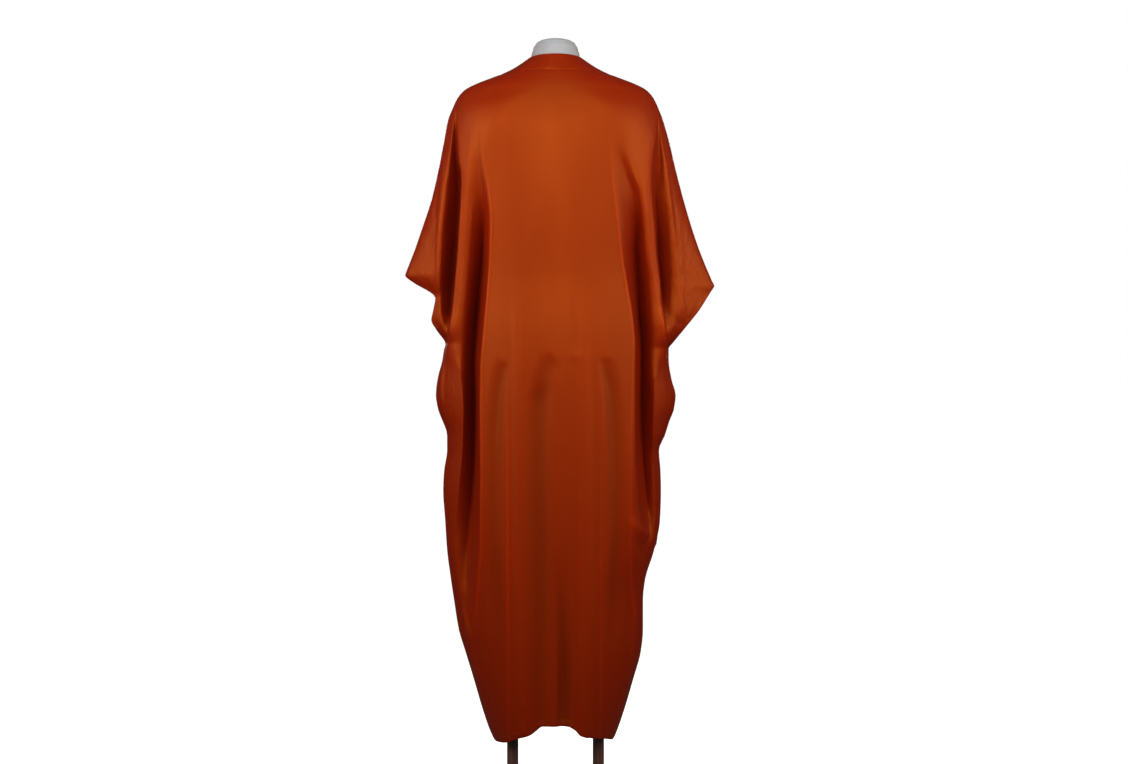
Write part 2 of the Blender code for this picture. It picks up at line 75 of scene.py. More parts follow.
# Sizes of the cloth and its sewing
CLOTH = 0.0008
BAND_CLOTH = 0.0016
HEM_TURN = 0.015
CUFF_TURN = 0.010
TURN_RISE = 0.0005
TURN_STEP = 0.001
ROLL_DIP, ROLL_REACH = 0.0006, 0.0012
SEAM_DIP, SEAM_REACH = 0.0006, 0.0015
BAND_ROLL_DIP, BAND_ROLL_REACH = 0.0007, 0.0011
STITCH_LENGTH = 0.0028
STITCH_GAP = 0.0012
STITCH_RADIUS = 0.00028
STITCH_INSET = 0.002
STITCH_DIP, STITCH_REACH = 0.0007, 0.0016
STITCH_END_GAP = 0.008

# How far from an edge the creases and the turned cloth reach their full height
EDGE_FADE = 0.010
NECK_FADE = 0.012
CUFF_FADE = 0.012
TURN_FADE = 0.004
BAND_FADE = 0.006

# Numbers inside metres() and the lengths inside fold_rows() are in millimetres, all others in metres

# Garment outline: height, half width on the left, half width on the right
OUTLINE = metres((
    (1512, 52, 52),
    (1498, 72, 72),
    (1488, 88, 88),
    (1478, 108.5, 108.5),
    (1468, 135, 135),
    (1457, 164, 164),
    (1447, 183.6, 183.6),
    (1437, 194, 194),
    (1427, 201, 201),
    (1407, 210, 210),
    (1387, 218, 218),
    (1346, 226, 230),
    (1285, 238, 244.5),
    (1224, 252.6, 260.7),
    (1163, 273, 279),
    (1123, 287, 293),
    (1082, 303, 309.5),
    (1072, 306.5, 314),
    (1061, 295, 318.5),
    (1050, 277.5, 323.6),
    (1041, 260.7, 317.5),
    (1025, 242.5, 307.3),
    (1000, 246.5, 291),
    (980, 250.6, 275),
    (960, 240.4, 258.7),
    (932, 223.5, 236),
    (924, 226.2, 230),
    (900, 230, 230),
    (859, 240, 236),
    (829, 243, 244),
    (798, 238, 240),
    (778, 230, 232),
    (747, 220, 222),
    (717, 220, 210),
    (676, 226, 213),
    (636, 228, 214),
    (575, 224, 212),
    (514, 220, 200),
    (453, 212, 181.6),
    (413, 206, 177.5),
    (352, 196, 177.5),
    (311, 183.6, 173.5),
    (250, 165, 157),
    (189, 147, 139),
    (149, 133, 125),
    (124, 120, 112.6),
))

# Hull section: height, where the edge's rounding starts, spread of the middle, y of the seams
SECTION = metres((
    (1512, 0, 1000, 0),
    (1476, 0, 800, 0),
    (1440, 20, 480, 0),
    (1400, 90, 350, -1),
    (1340, 130, 310, -3),
    (1200, 160, 275, -8),
    (1070, 175, 262, -12),
    (950, 175, 265, -6),
    (800, 155, 270, -2),
    (600, 120, 280, 0),
    (400, 60, 300, 0),
    (130, 0, 400, 0),
))

# Depth behind the seams: height, depth
BACK_DEPTH = metres((
    (1512, 58),
    (1476, 80),
    (1440, 98),
    (1400, 110),
    (1360, 116.5),
    (1300, 119.5),
    (1200, 122.2),
    (1100, 123.8),
    (1000, 124.5),
    (920, 124.4),
    (800, 122.2),
    (600, 117),
    (400, 111),
    (130, 103),
))

# Depth before the seams: height, depth
FRONT_DEPTH = metres((
    (1512, 54),
    (1476, 64),
    (1440, 76),
    (1400, 91),
    (1360, 106),
    (1300, 128),
    (1250, 139),
    (1200, 141),
    (1100, 138),
    (900, 131),
    (700, 125),
    (400, 115),
    (130, 104),
))

# How far the front rows dip at the centre, for the V neck: height at the seam, dip
FRONT_DIP = metres((
    (1512, 147),
    (1476, 191),
    (1100, 0),
))

# Folds: height, distance of the crisp inner ridge (left, right), width out to the soft outer ridge
# (left, right), place of the bottom as a share of the width (left, right), bite as a share of the
# hull's depth (left, right), power of the outer ramp (left, right), power of the inner wall. The
# first line has the usual shares and powers, with which a short row ends
BACK_SIDE_FOLD = fold_rows(
    (0.5, 0.5, 0, 0, 1.7, 1.7, 1),
    (1476, 70, 60, 16, 24, 0.5, 0.4),
    (1440, 122, 96, 20, 30, 0.5, 0.4),
    (1380, 148, 108, 16, 24, 0.45, 0.4),
    (1327, 145, 110, 24, 28, 0.42, 0.5, 0, 0, 1.7, 1.7, 1.2),
    (1275, 139, 114, 34, 40, 0.38, 0.6, 0.04, 0.06, 1.7, 1.7, 1.2),
    (1225, 132, 119, 49, 54, 0.32, 0.68, 0.13, 0.15, 1.7, 1.7, 1.3),
    (1174, 128.4, 124.5, 53, 57, 0.33, 0.68, 0.34, 0.3, 1.7, 1.7, 1.4),
    (1112, 130, 131, 55, 55, 0.34, 0.58, 0.54, 0.47, 1.7, 1.4, 1.3),
    (1040, 135, 144.5, 56, 56, 0.38, 0.42, 0.67, 0.6, 1.9, 1.6),
    (970, 141, 155, 60, 56, 0.36, 0.3, 0.75, 0.68, 2.2, 2),
    (925, 145, 158, 55, 52, 0.38, 0.33, 0.75, 0.68, 1.8),
    (890, 147.8, 157.5, 45, 45, 0.43, 0.39, 0.74, 0.67, 1.4, 1.4),
    (850, 148.8, 157, 37, 40, 0.49, 0.46, 0.73, 0.65, 1, 1),
    (800, 149, 157, 34, 39, 0.52, 0.48, 0.72, 0.64, 0.85, 0.85),
    (720, 148.4, 158, 37, 37, 0.5, 0.52, 0.68, 0.58, 0.9, 0.9),
    (625, 148.4, 163, 46, 38, 0.48, 0.55, 0.6, 0.44, 1, 1.1),
    (565, 149, 169, 51, 34, 0.52, 0.58, 0.5, 0.22, 1, 1.2),
    (520, 150.2, 165, 51, 26, 0.56, 0.6, 0.38, 0.05, 1.1, 1.4),
    (470, 154.5, 158, 44, 16, 0.58, 0.5, 0.22, 0, 1.2, 1.6),
    (420, 158.4, 157, 32, 10, 0.58, 0.5, 0.05, 0, 1.3),
    (355, 165.8, 167.5, 12, 3),
    (300, 150, 150, 10, 6),
    (190, 122, 117.5, 6, 5),
    (120, 99, 97, 4, 3),
)
BACK_WING_FOLD = fold_rows(
    (0.4, 0.4, 0, 0, 1.7, 1.7, 1),
    (1476, 98, 98, 6, 6, 0.3, 0.3, 0, 0, 1.2, 1.2),
    (1440, 168, 168, 8, 8, 0.3, 0.3, 0, 0, 1.2, 1.2),
    (1405, 196, 198, 6, 6, 0.3, 0.3, 0.03, 0.02, 1.2, 1.2),
    (1375, 198, 203, 7, 6, 0.3, 0.5, 0.14, 0.06, 1.2, 1.2),
    (1340, 196, 198.5, 14, 15, 0.26, 0.58, 0.34, 0.16, 1.2, 1.2),
    (1300, 193, 191.5, 24, 30, 0.2, 0.58, 0.54, 0.28, 1.1, 1.1),
    (1262, 187, 190, 34, 36, 0.17, 0.44, 0.74, 0.38, 0.8, 1),
    (1220, 188, 192.5, 38, 40, 0.16, 0.26, 0.84, 0.46, 0.8, 1.1),
    (1174, 191.3, 197.2, 39, 40, 0.16, 0.22, 0.9, 0.56, 0.8, 1.1),
    (1110, 195.5, 202, 38, 40, 0.16, 0.17, 0.93, 0.68, 0.8, 1.2),
    (1050, 201.2, 208.8, 35, 38, 0.17, 0.16, 0.92, 0.64, 0.8, 1.3),
    (1005, 205.3, 212, 29, 34, 0.18, 0.18, 0.76, 0.4, 0.9, 1.4),
    (975, 207.8, 215.5, 24, 28, 0.2, 0.22, 0.32, 0.14, 1, 1.4),
    (950, 210, 217.8, 14, 16, 0.26, 0.26, 0, 0, 1, 1),
    (926, 211.8, 219.6, 8, 6, 0.3, 0.3),
    (860, 220, 218, 10, 10),
    (800, 216, 218, 10, 10),
    (750, 202, 203, 8, 8),
    (680, 206, 198.5, 8, 6),
    (575, 208, 200, 8, 6),
    (470, 200, 177.5, 8, 5),
    (355, 183, 172.2, 6, 3),
    (300, 167, 161, 6, 4),
    (190, 133, 126, 6, 5),
    (120, 108, 103, 4, 3),
)
FRONT_SIDE_FOLD = fold_rows(
    (0.5, 0.5, 0, 0, 1.6, 1.6, 1),
    (1476, 56, 56, 24, 24, 0.45, 0.45),
    (1440, 92, 92, 40, 40, 0.45, 0.45),
    (1340, 129, 132, 46, 46, 0.45, 0.45),
    (1240, 134, 136, 48, 48, 0.42, 0.5, 0.18, 0.14),
    (1120, 139, 142, 48, 46, 0.4, 0.48, 0.46, 0.42),
    (1000, 146, 148, 44, 44, 0.45, 0.42, 0.62, 0.58, 1.2, 1.2),
    (880, 150, 148, 42, 42, 0.5, 0.46, 0.62, 0.66, 1.2, 1.2),
    (740, 152, 154, 40, 38, 0.52, 0.5, 0.58, 0.6, 1.2, 1.2),
    (600, 158, 158, 38, 34, 0.52, 0.5, 0.5, 0.4, 1.2, 1.2),
    (500, 164, 158, 32, 24, 0.52, 0.5, 0.3, 0.12, 1.2, 1.2),
    (410, 165, 150, 22, 12, 0.5, 0.5, 0.06),
    (300, 148, 144, 12, 8),
    (190, 120, 116, 8, 6),
    (120, 98, 96, 5, 4),
)
FRONT_WING_FOLD = fold_rows(
    (0.4, 0.4, 0, 0, 1.1, 1.1, 1),
    (1476, 98, 98, 6, 6, 0.3, 0.3),
    (1440, 166, 166, 10, 10, 0.3, 0.3),
    (1385, 194, 196, 12, 12, 0.3, 0.3, 0.1, 0.08),
    (1310, 193, 195, 28, 26, 0.24, 0.26, 0.46, 0.4),
    (1205, 191, 192, 40, 38, 0.2, 0.24, 0.72, 0.66),
    (1100, 195, 197, 42, 40, 0.2, 0.22, 0.78, 0.74),
    (1000, 206, 211, 32, 32, 0.24, 0.24, 0.64, 0.66),
    (955, 211, 218, 18, 20, 0.3, 0.3, 0.24, 0.28),
    (922, 212, 219, 8, 6),
    (800, 216, 218, 10, 10),
    (750, 202, 203, 8, 8),
    (575, 208, 200, 8, 6),
    (470, 200, 177.5, 8, 5),
    (355, 189, 168, 4, 5),
    (300, 166, 160, 6, 5),
    (190, 133, 126, 6, 5),
    (120, 108, 103, 4, 3),
)
FOLD_ROUNDING = 0.10
SHARP_BITE = 0.58
# Painted shade in the folds: the bite and the trough depth at which the satin's colour is darkened in full,
# and how far below 0 the mask goes on a ridge, where it lightens the colour as a painted highlight
DEEP_FOLD = 0.70
TROUGH_DEPTH = 0.0052
PAINTED_RIDGE_HIGHLIGHT = 0.25
RUMPLE_REACH = (0.165, 0.225)
RUMPLE_SHARE = (0.80, 0.95)
BAND_RUMPLE = 0.5

# Thin pressed ridges of the back: height, distance (left, right), rise (left, right)
POST_LINE = metres((
    (1476, 44, 42, 0, 0),
    (1440, 64, 60, 0, 0),
    (1300, 85, 80, 0, 0),
    (1100, 92.5, 90, 0, 0),
    (860, 93.5, 91.4, 0, 0),
    (760, 93.5, 91.4, 0.9, 0.4),
    (500, 93.4, 91.4, 1.2, 0.7),
    (300, 93, 91.4, 0.8, 0.7),
    (190, 92.5, 90.5, 0.6, 0.6),
    (120, 88, 86, 0.4, 0.4),
))
SIDE_LINE = metres((
    (1476, 62, 55, 0, 0),
    (1440, 110, 90, 0, 0),
    (1380, 145, 105, 0, 0),
    (1327, 143, 107.5, 0, 0.2),
    (1275, 137, 111.5, 0.2, 0.6),
    (1225, 130, 116.5, 0.6, 0.9),
    (1174, 126.4, 123.5, 1, 1),
    (1112, 128, 130.5, 1, 1),
    (1040, 133, 142, 1, 0.9),
    (970, 139, 152.5, 0.9, 0.6),
    (925, 143, 155, 0.9, 0.5),
    (878, 146.5, 154, 0.9, 0.5),
    (800, 147, 151, 1, 0.6),
    (720, 146.5, 149, 1, 0.7),
    (520, 148, 148.5, 1.2, 0.8),
    (462, 152, 151, 1.2, 0.8),
    (403, 157.5, 157, 1, 0.8),
    (355, 164, 166, 0, 0),
    (300, 148, 148, 0, 0),
    (190, 120, 116, 0, 0),
    (120, 97, 95, 0, 0),
))
WING_LINE = metres((
    (1476, 90, 90, 0, 0),
    (1370, 190, 194, 0, 0),
    (1320, 186, 186, 0.4, 0.3),
    (1262, 180.5, 184, 0.7, 0.5),
    (1220, 181.5, 186, 0.8, 0.6),
    (1174, 185, 190.5, 0.7, 0.6),
    (1110, 190, 196, 0.5, 0.6),
    (1050, 196, 203.5, 0.4, 0.7),
    (1005, 200.5, 207.5, 0.3, 0.7),
    (960, 206, 212, 0, 0.5),
    (925, 208, 215, 0, 0),
    (120, 100, 100, 0, 0),
))
LINE_HALF_WIDTH = 0.0050
WING_LINE_HALF_WIDTH = 0.0100
# Rise of a thin ridge at which the painted highlight along it and its lower roughness are full
LINE_PRESS = 0.0012

# Soft long folds: x at the top and at the hem, top and full height, half width, rise (a dent is
# negative)
BACK_SOFT_FOLDS = metres((
    (30, 26, 960, 700, 36, -3),
))
FRONT_SOFT_FOLDS = metres((
    (-10, 12, 1120, 700, 34, -10),
    (85, 78, 1180, 800, 24, 6),
    (-80, -82, 1180, 800, 24, 6),
))

# Hem: distance from the centre line, height (left, right)
BACK_HEM = metres((
    (0, 175, 175),
    (26, 174, 174),
    (38, 165, 168),
    (50, 156, 155),
    (78, 146, 147),
    (100, 135, 142),
    (120, 131, 131),
))
FRONT_HEM = metres(((0, 150, 150), (60, 142, 142), (120, 131, 131)))

# Form below the shoulders: height, half width, depth behind, depth before
FORM_TORSO = metres((
    (1400, 194.5, 106, 87),
    (1350, 186, 113, 106),
    (1300, 172, 113, 123),
    (1250, 157, 109, 132),
    (1190, 144, 100, 127),
    (1110, 127, 86, 101),
    (1030, 140, 96, 103),
    (960, 145, 112, 105),
    (900, 148, 117, 103),
    (840, 148, 113, 99),
    (780, 145, 104, 94),
    (735, 140, 97, 89),
    (724, 136, 94, 86),
    (720, 128, 88, 80),
))

# Form above the neck band: height, half width, share of the front dip that is left
FORM_NECK = (
    (1.5145, 0.0494, 0.70),
    (1.5170, 0.0491, 0.40),
    (1.5200, STUB_HALF_WIDTH, 0.15),
    (1.5250, 0.0467, 0.00),
    (1.5290, 0.0457, 0.00),
    (1.5330, 0.0446, 0.00),
    (1.5370, 0.0416, 0.00),
    (1.5410, 0.0396, 0.00),
    (1.5450, 0.0335, 0.00),
    (1.5480, 0.0240, 0.00),
)

# Rows of a panel's grid: height where a stretch ends, number of rows in it
ROW_STRETCHES = (
    (1.430, 12), (1.340, 14), (1.100, 28), (1.072, 5), (1.050, 5), (0.980, 11),
    (0.932, 9), (0.924, 2), (0.860, 9), (HEM_BLEND_Z, 54),
)
HEM_ROWS = 20
HEM_ROW_POWER = 1.4
ROW_SAMPLES = 700
WIDEST = 0.36
LEAST_GAP = 0.0012

# Columns of a panel on one side of its centre line, between the post's line, the side line, the
# ridge, bottom and outer end of both folds, and the edge
COLUMNS = (34, 17, 2, 14, 18, 5, 14, 18, 20)

# Creases: half width on the +X or upper side, half width on the other side, then the path's points
# as x, z and rise (a trough is negative). They are soft, apart from the ones marked as crisp
CRISP = "crisp"
BACK_CREASES = metres((
    # Soft flutes that start under the seat
    (22, 18, (103, 900, 0), (107, 868, -3.6), (111, 840, -4.6), (115, 800, -5), (119, 730, -4.6),
     (120, 640, -4.4), (119, 500, -3.8), (114, 360, -2.2), (106, 250, 0)),
    (30, 32, (8, 910, 0), (14, 886, -2.4), (24, 856, -3.4), (31, 810, -6.6), (33, 740, -6.2),
     (33, 640, -6.6), (32, 520, -6.4), (32, 400, -5), (34, 280, -4.2), (34, 180, -3.2)),
    (17, 26, (-98, 905, 0), (-102, 872, -3.8), (-108, 840, -5), (-113, 780, -5.4), (-117, 690, -5),
     (-119, 580, -4.6), (-118, 450, -3.4), (-114, 320, 0)),
    (16, 13, (76, 1060, 0), (75, 900, 2.6), (74, 780, 3.6), (72, 600, 3.4), (69, 350, 3),
     (64, 170, 2)),
    (20, 20, (-56, 1060, 0), (-56, 900, 2), (-58, 780, 3), (-60, 600, 3.2), (-62, 350, 3.8),
     (-62, 170, 3.4)),
    (14, 12, (-22, 916, 0), (-36, 908, 0.8), (-50, 905, 0.8), (-62, 900, 0)),
    # Hollow at the centre of the hem
    (17, 22, (-6, 520, 0), (-10, 440, -2.8), (-14, 340, -7.4), (-15.5, 250, -11), (-15, 200, -10),
     (-14.5, 165, -7)),
    # Raised strips between the valleys
    (12, 14, (176, 1340, 0), (174, 1290, 1.6), (172, 1220, 3), (177, 1120, 3), (186, 1030, 2),
     (194, 960, 0)),
    (14, 12, (-172, 1330, 0), (-174, 1280, 1.6), (-178, 1210, 3), (-188, 1110, 2.8), (-198, 1020, 2),
     (-204, 950, 0)),
    # Faint folds down from the shoulders
    (8, 8, (154, 1372, 0), (154, 1330, -0.8), (152, 1280, -1), (148, 1225, 0)),
    (7, 7, (170, 1365, 0), (168, 1320, 0.6), (168, 1270, 0.7), (170, 1220, 0)),
    (9, 9, (-160, 1380, 0), (-163, 1330, -0.6), (-164, 1260, -0.8), (-168, 1190, 0)),
    # Small drag wrinkles by the shoulder seam
    (3.5, 3.5, (114, 1434, 0), (128, 1427, -0.9), (142, 1424, 0)),
    (3.5, 3.5, (120, 1447, 0), (134, 1441, 0.7), (148, 1436, 0)),
    (3.5, 3.5, (-104, 1446, 0), (-121, 1440, -0.9), (-139, 1429, 0)),
    (3.5, 3.5, (-110, 1434, 0), (-126, 1427, 0.8), (-146, 1416, 0)),
    (3, 3, (66, 1470, 0), (78, 1462, -0.8), (92, 1458, 0)),
    (3, 3, (-70, 1468, 0), (-84, 1460, -0.8), (-97, 1452, 0)),
    # Diagonal fold that closes the right side valley
    (8, 10, (-147, 586, 0), (-160, 569, 5.2), (-176, 552, 6.8), (-195, 538, 4)),
    (9, 9, (-158, 548, 0), (-172, 524, -3), (-184, 508, -2.2), (-192, 500, 0)),
    # Soft folds and puckers of the sleeves
    (9, 9, (222, 1330, 0), (228, 1240, 1.6), (234, 1140, 2), (236, 1050, 1.2), (232, 1020, 0)),
    (6, 6, (234, 1255, 0), (240, 1220, -1.2), (245, 1170, 0)),
    (9, 9, (-210, 1345, 0), (-222, 1270, 1.4), (-229, 1200, 1.8), (-236, 1110, 1), (-240, 1050, 0)),
    (6, 6, (-234, 1240, 0), (-242, 1190, -1.2), (-248, 1130, 0)),
    (12, 14, (-252, 1090, 0), (-268, 1060, -1.6), (-288, 1050, 0)),
    (12, 12, (-246, 1060, 0), (-256, 1010, 1.8), (-262, 985, 0)),
    (5, 5, (-211, 1010, 0), (-214, 970, 3), (-216.5, 938, 2.8), (-220, 905, 0)),
    (6, 6, (-238, 990, 0), (-250, 972, -2), (-262, 975, 0)),
    # Fuller cloth beside the underarms
    (12, 22, (202, 1000, 0), (207, 960, 4.5), (210, 925, 5), (213, 880, 0)),
    (22, 12, (-206, 1010, 0), (-212, 960, 5), (-215, 925, 5.5), (-216, 880, 0)),
    # Small folds near the side seams
    (5, 7, (214, 935, 0), (220, 900, 1.8), (228.5, 860, 3), (230, 825, 2), (226, 800, 0)),
    (8, 8, (196, 460, 0), (186, 400, 1.4), (176, 360, 3), (166, 330, 0)),
    (7, 7, (170, 340, 0), (156, 280, 1.6), (142, 230, -1.2), (128, 180, 0)),
    (8, 8, (-160, 460, 0), (-160, 380, 1.6), (-148, 280, 1.2), (-130, 200, 0)),
))
FRONT_CREASES = metres((
    # Long folds that fall from the chest
    (14, 16, (104, 1160, 0), (100, 1040, 2.6), (94, 800, 2.2), (90, 460, 0)),
    (16, 14, (-98, 1150, 0), (-97, 1020, 2.4), (-95, 780, 2.4), (-90, 420, 0)),
    (16, 16, (56, 1120, 0), (52, 980, -2.6), (48, 720, -3), (46, 360, 0)),
    (16, 16, (-50, 1100, 0), (-47, 940, -2.6), (-46, 700, -2.8), (-45, 330, 0)),
    (10, 12, CRISP, (118, 700, 0), (116, 580, 1.4), (110, 360, 1.2), (100, 140, 1)),
    (12, 10, CRISP, (-116, 660, 0), (-113, 540, 1.4), (-106, 340, 1.2), (-96, 140, 1)),
    # Drag folds from the neck towards the sleeves
    (12, 12, (52, 1365, 0), (90, 1300, 1.4), (130, 1235, 2), (160, 1170, 0)),
    (12, 12, (-55, 1360, 0), (-94, 1295, 1.4), (-132, 1228, 2), (-162, 1160, 0)),
    # Soft folds of the sleeves
    (12, 12, (176, 1380, 0), (180, 1280, 1.8), (180, 1140, 1.6), (182, 1020, 0)),
    (12, 12, (-178, 1380, 0), (-182, 1270, 1.8), (-182, 1120, 1.6), (-184, 1000, 0)),
    (10, 10, (228, 1330, 0), (236, 1210, 1.8), (250, 1110, 1.6), (266, 1050, 0)),
    (10, 10, (-230, 1330, 0), (-240, 1200, 1.8), (-256, 1100, 1.6), (-278, 1030, 0)),
    (16, 18, (-6, 620, 0), (4, 480, -3), (12, 300, -4), (14, 130, -3)),
))
BAND_CREASES = metres((
    (12, 14, (10, 1512, 0.8), (12, 1495, 1), (14, 1478, 0.6)),
    (8, 10, (-10, 1512, 0.4), (-12, 1495, -0.8), (-16, 1478, -0.4)),
    (4, 4, (58, 1500, 0), (75, 1488, -0.6), (92, 1482, 0)),
    (4, 4, (46, 1492, 0), (62, 1482, 0.9), (78, 1478, 0)),
    (4, 4, (-56, 1500, 0), (-74, 1490, -0.6), (-90, 1482, 0)),
    (4, 5, (-44, 1494, 0), (-60, 1484, 0.8), (-74, 1478, 0)),
))
PATH_STEPS = 60
SHARP_ANGLE = 55

# Rings of the neck band and the form: columns on each side, and rows of each stretch
RING_COLUMNS = 140
BAND_ROWS = 22
FORM_NECK_ROWS = 26
FORM_SHOULDER_ROWS = 18
FORM_TORSO_ROWS = 60
FORM_SKIN_DEPTH = 0.0030
FORM_SLACK = 0.0030
FORM_SEAM_FOLLOW = 0.5
FORM_NECK_INSET = 0.003
FORM_TOP = ((0.75, 0.0008), (0.45, 0.0013), (0.15, 0.0015))
FORM_BASE_SHARES = (0.7, 0.35, 0.1)

# One stitch: rings along it as place, size and lift, and sides of a ring
STITCH_RINGS = ((-1.0, 0.35, -0.3), (-0.6, 0.95, 0.4), (0.6, 0.95, 0.4), (1.0, 0.35, -0.3))
STITCH_SIDES = 6
HEM_STITCH_ROW = 6
STITCH_MARGIN = 3

# Finishes
SATIN_LIGHT = (0.235, 0.0088, 0.0008, 1)
SATIN_DEEP = (0.200, 0.0066, 0.0006, 1)
THREAD_LIGHT = (0.300, 0.026, 0.0020, 1)
SATIN_GLOSS = (1.0, 0.30, 0.036, 1)
SATIN_ROUGHNESS = 0.42
# How much lighter the satin's colour is painted along the thin pressed ridges, a painted highlight, and how
# much less rough it is there
PAINTED_HIGHLIGHT_GAIN = 0.55
PRESSED_SHINE = 0.08
# How much darker the satin's colour is painted deep in the folds and troughs: painted shade
PAINTED_FOLD_SHADE = 0.22
SATIN_IOR = 1.6
SATIN_SPECULAR = 0.6
LINEN_LIGHT = (0.36, 0.32, 0.355, 1)
LINEN_DEEP = (0.31, 0.275, 0.305, 1)
WOOD_LIGHT = (0.170, 0.070, 0.052, 1)
WOOD_DEEP = (0.070, 0.027, 0.020, 1)
ENAMEL_LIGHT = (0.034, 0.025, 0.022, 1)
ENAMEL_DEEP = (0.020, 0.015, 0.014, 1)
FLOOR_BOUNCE = (0.12, 0.12, 0.12, 1)
FLOOR_SEEN = (0.90, 0.90, 0.90, 1)
FLOOR_GLOW = (0.84, 1.02)
FLOOR_GLOW_REACH = (1.2, 5.0)
FLOOR_SIZE = 40.0
FLOOR_DROP = 0.0005
SURROUND = (0.06, 0.05, 0.05, 1)
BUMP_DISTANCE = 0.0002

# Lights: name, place, target, size, watts, colour
LIGHTS = (
    ("left key", (2.2, 2.3, 1.8), (0.0, 0.0, 1.50), (1.2, 1.0), 5.6, (1, 1, 1)),
    ("right key", (-2.2, 2.3, 1.8), (0.0, 0.0, 1.50), (1.2, 1.0), 5.3, (1, 1, 1)),
    ("left side", (2.8, 1.2, 2.1), (0.10, 0.0, 1.40), (2.2, 2.0), 9.5, (1, 0.95, 0.70)),
    ("right side", (-2.8, 1.2, 2.1), (-0.10, 0.0, 1.40), (2.2, 2.0), 9.0, (1, 0.95, 0.70)),
    ("centre key", (0.0, 3.0, 2.0), (0.0, 0.0, 1.60), (2.4, 0.9), 12.0, (1, 1, 1)),
    ("crown", (0.0, 2.3, 3.6), (0.0, 0.0, 1.45), (2.4, 1.2), 5.5, (0.25, 1, 0.85)),
    ("front", (0.0, -3.4, 1.6), (0.0, 0.0, 1.15), (2.6, 1.2), 22.0, (1, 1, 1)),
)
LIGHT_SPREAD = 75

# Camera: lens for a 36 mm sensor, and place
CAMERA_LENS = 56.6
CAMERA_PLACE = (-0.0172, 3.6, 0.855)


class Curve:
    """A smooth curve through one column of a table, which never overshoots between its rows."""

    def __init__(self, table, column):
        rows = sorted(table)
        self.at = np.array([row[0] for row in rows], dtype=float)
        self.value = np.array([row[column] for row in rows], dtype=float)
        rises = np.diff(self.value) / np.diff(self.at)
        above, below = rises[:-1], rises[1:]
        product = above * below
        total = np.where(product > 0, above + below, 1)
        means = np.where(product > 0, 2 * product / total, 0)
        self.slope = np.concatenate((rises[:1], means, rises[-1:]))

    def __call__(self, at):
        at = np.clip(at, self.at[0], self.at[-1])
        i = np.clip(np.searchsorted(self.at, at, side="right") - 1, 0, len(self.at) - 2)
        gap = self.at[i + 1] - self.at[i]
        t = (at - self.at[i]) / gap
        return (
            (1 + 2 * t) * (1 - t) ** 2 * self.value[i]
            + t * (1 - t) ** 2 * gap * self.slope[i]
            + t * t * (3 - 2 * t) * self.value[i + 1]
            + t * t * (t - 1) * gap * self.slope[i + 1]
        )


def ease(t):
    """0 below 0, 1 above 1 and a smooth rise between."""
    t = np.clip(t, 0, 1)
    return t * t * (3 - 2 * t)


def both_hands(table, column):
    """Curves through two columns side by side, one for each hand."""
    return Curve(table, column), Curve(table, column + 1)


def by_hand(pair, x, z):
    """The left hand's curve where x is positive, the right hand's elsewhere."""
    return np.where(x >= 0, pair[LEFT](z), pair[RIGHT](z))


def by_hand_value(pair, x):
    """The left hand's value where x is positive, the right hand's elsewhere."""
    return np.where(x >= 0, pair[LEFT], pair[RIGHT])


class Fold:
    """A long fold that bites into the hull, mirrored on the two hands with its own sizes on each."""

    def __init__(self, table, soft_left):
        self.soft_left = soft_left
        self.ridge, self.width, self.bottom, self.bite, self.ramp_power = (
            both_hands(table, column) for column in (1, 3, 5, 7, 9)
        )
        self.wall_power = Curve(table, 11)

    def depth(self, reach, x, z):
        """Share of the hull's depth that the fold takes at each place: crisp where deep, soft where not."""
        t = (reach - by_hand(self.ridge, x, z)) / by_hand(self.width, x, z)
        bottom = by_hand(self.bottom, x, z)
        bite = by_hand(self.bite, x, z)
        wall = np.clip(t / bottom, 0, 1)
        ramp = np.clip((1 - t) / (1 - bottom), 0, 1)
        out = np.where(self.soft_left & (x >= 0), ease(ramp), ramp)
        inside = t < bottom
        crisp = np.where(
            inside,
            ((1 + FOLD_ROUNDING) * wall ** 2 / (wall + FOLD_ROUNDING)) ** self.wall_power(z),
            out ** by_hand(self.ramp_power, x, z),
        )
        soft = ease(np.where(inside, wall, ramp))
        sharpness = ease(bite / SHARP_BITE)
        return bite * (sharpness * crisp + (1 - sharpness) * soft)

    def marks(self, hand):
        """Curves of the ridge, the bottom and the outer end on one hand."""
        ridge, width, bottom = self.ridge[hand], self.width[hand], self.bottom[hand]
        return ridge, lambda z: ridge(z) + width(z) * bottom(z), lambda z: ridge(z) + width(z)


class Face:
    """One side of the garment: its depth, its folds, its hem and its creases."""

    def __init__(self, sign, depth, folds, soft_folds, hem, creases):
        self.sign = sign
        self.depth = Curve(depth, 1)
        self.folds = [Fold(folds[0], False), Fold(folds[1], sign > 0)]
        self.soft_folds = soft_folds
        self.hem = both_hands(hem, 1)
        self.creases = creases


OUTER_EDGE = both_hands(OUTLINE, 1)
ROUNDING = Curve(SECTION, 1)
SPREAD = Curve(SECTION, 2)
SEAM_Y = Curve(SECTION, 3)
DIP = Curve(FRONT_DIP, 1)
TORSO_CURVES = [Curve(FORM_TORSO, column) for column in (1, 2, 3)]
POST_MARK = both_hands(POST_LINE, 1)
SIDE_MARK = both_hands(SIDE_LINE, 1)
BACK_LINES = ((POST_LINE, LINE_HALF_WIDTH), (SIDE_LINE, LINE_HALF_WIDTH), (WING_LINE, WING_LINE_HALF_WIDTH))
BACK = Face(1, BACK_DEPTH, (BACK_SIDE_FOLD, BACK_WING_FOLD), BACK_SOFT_FOLDS, BACK_HEM, BACK_CREASES)
FRONT = Face(-1, FRONT_DEPTH, (FRONT_SIDE_FOLD, FRONT_WING_FOLD), FRONT_SOFT_FOLDS, FRONT_HEM, FRONT_CREASES)


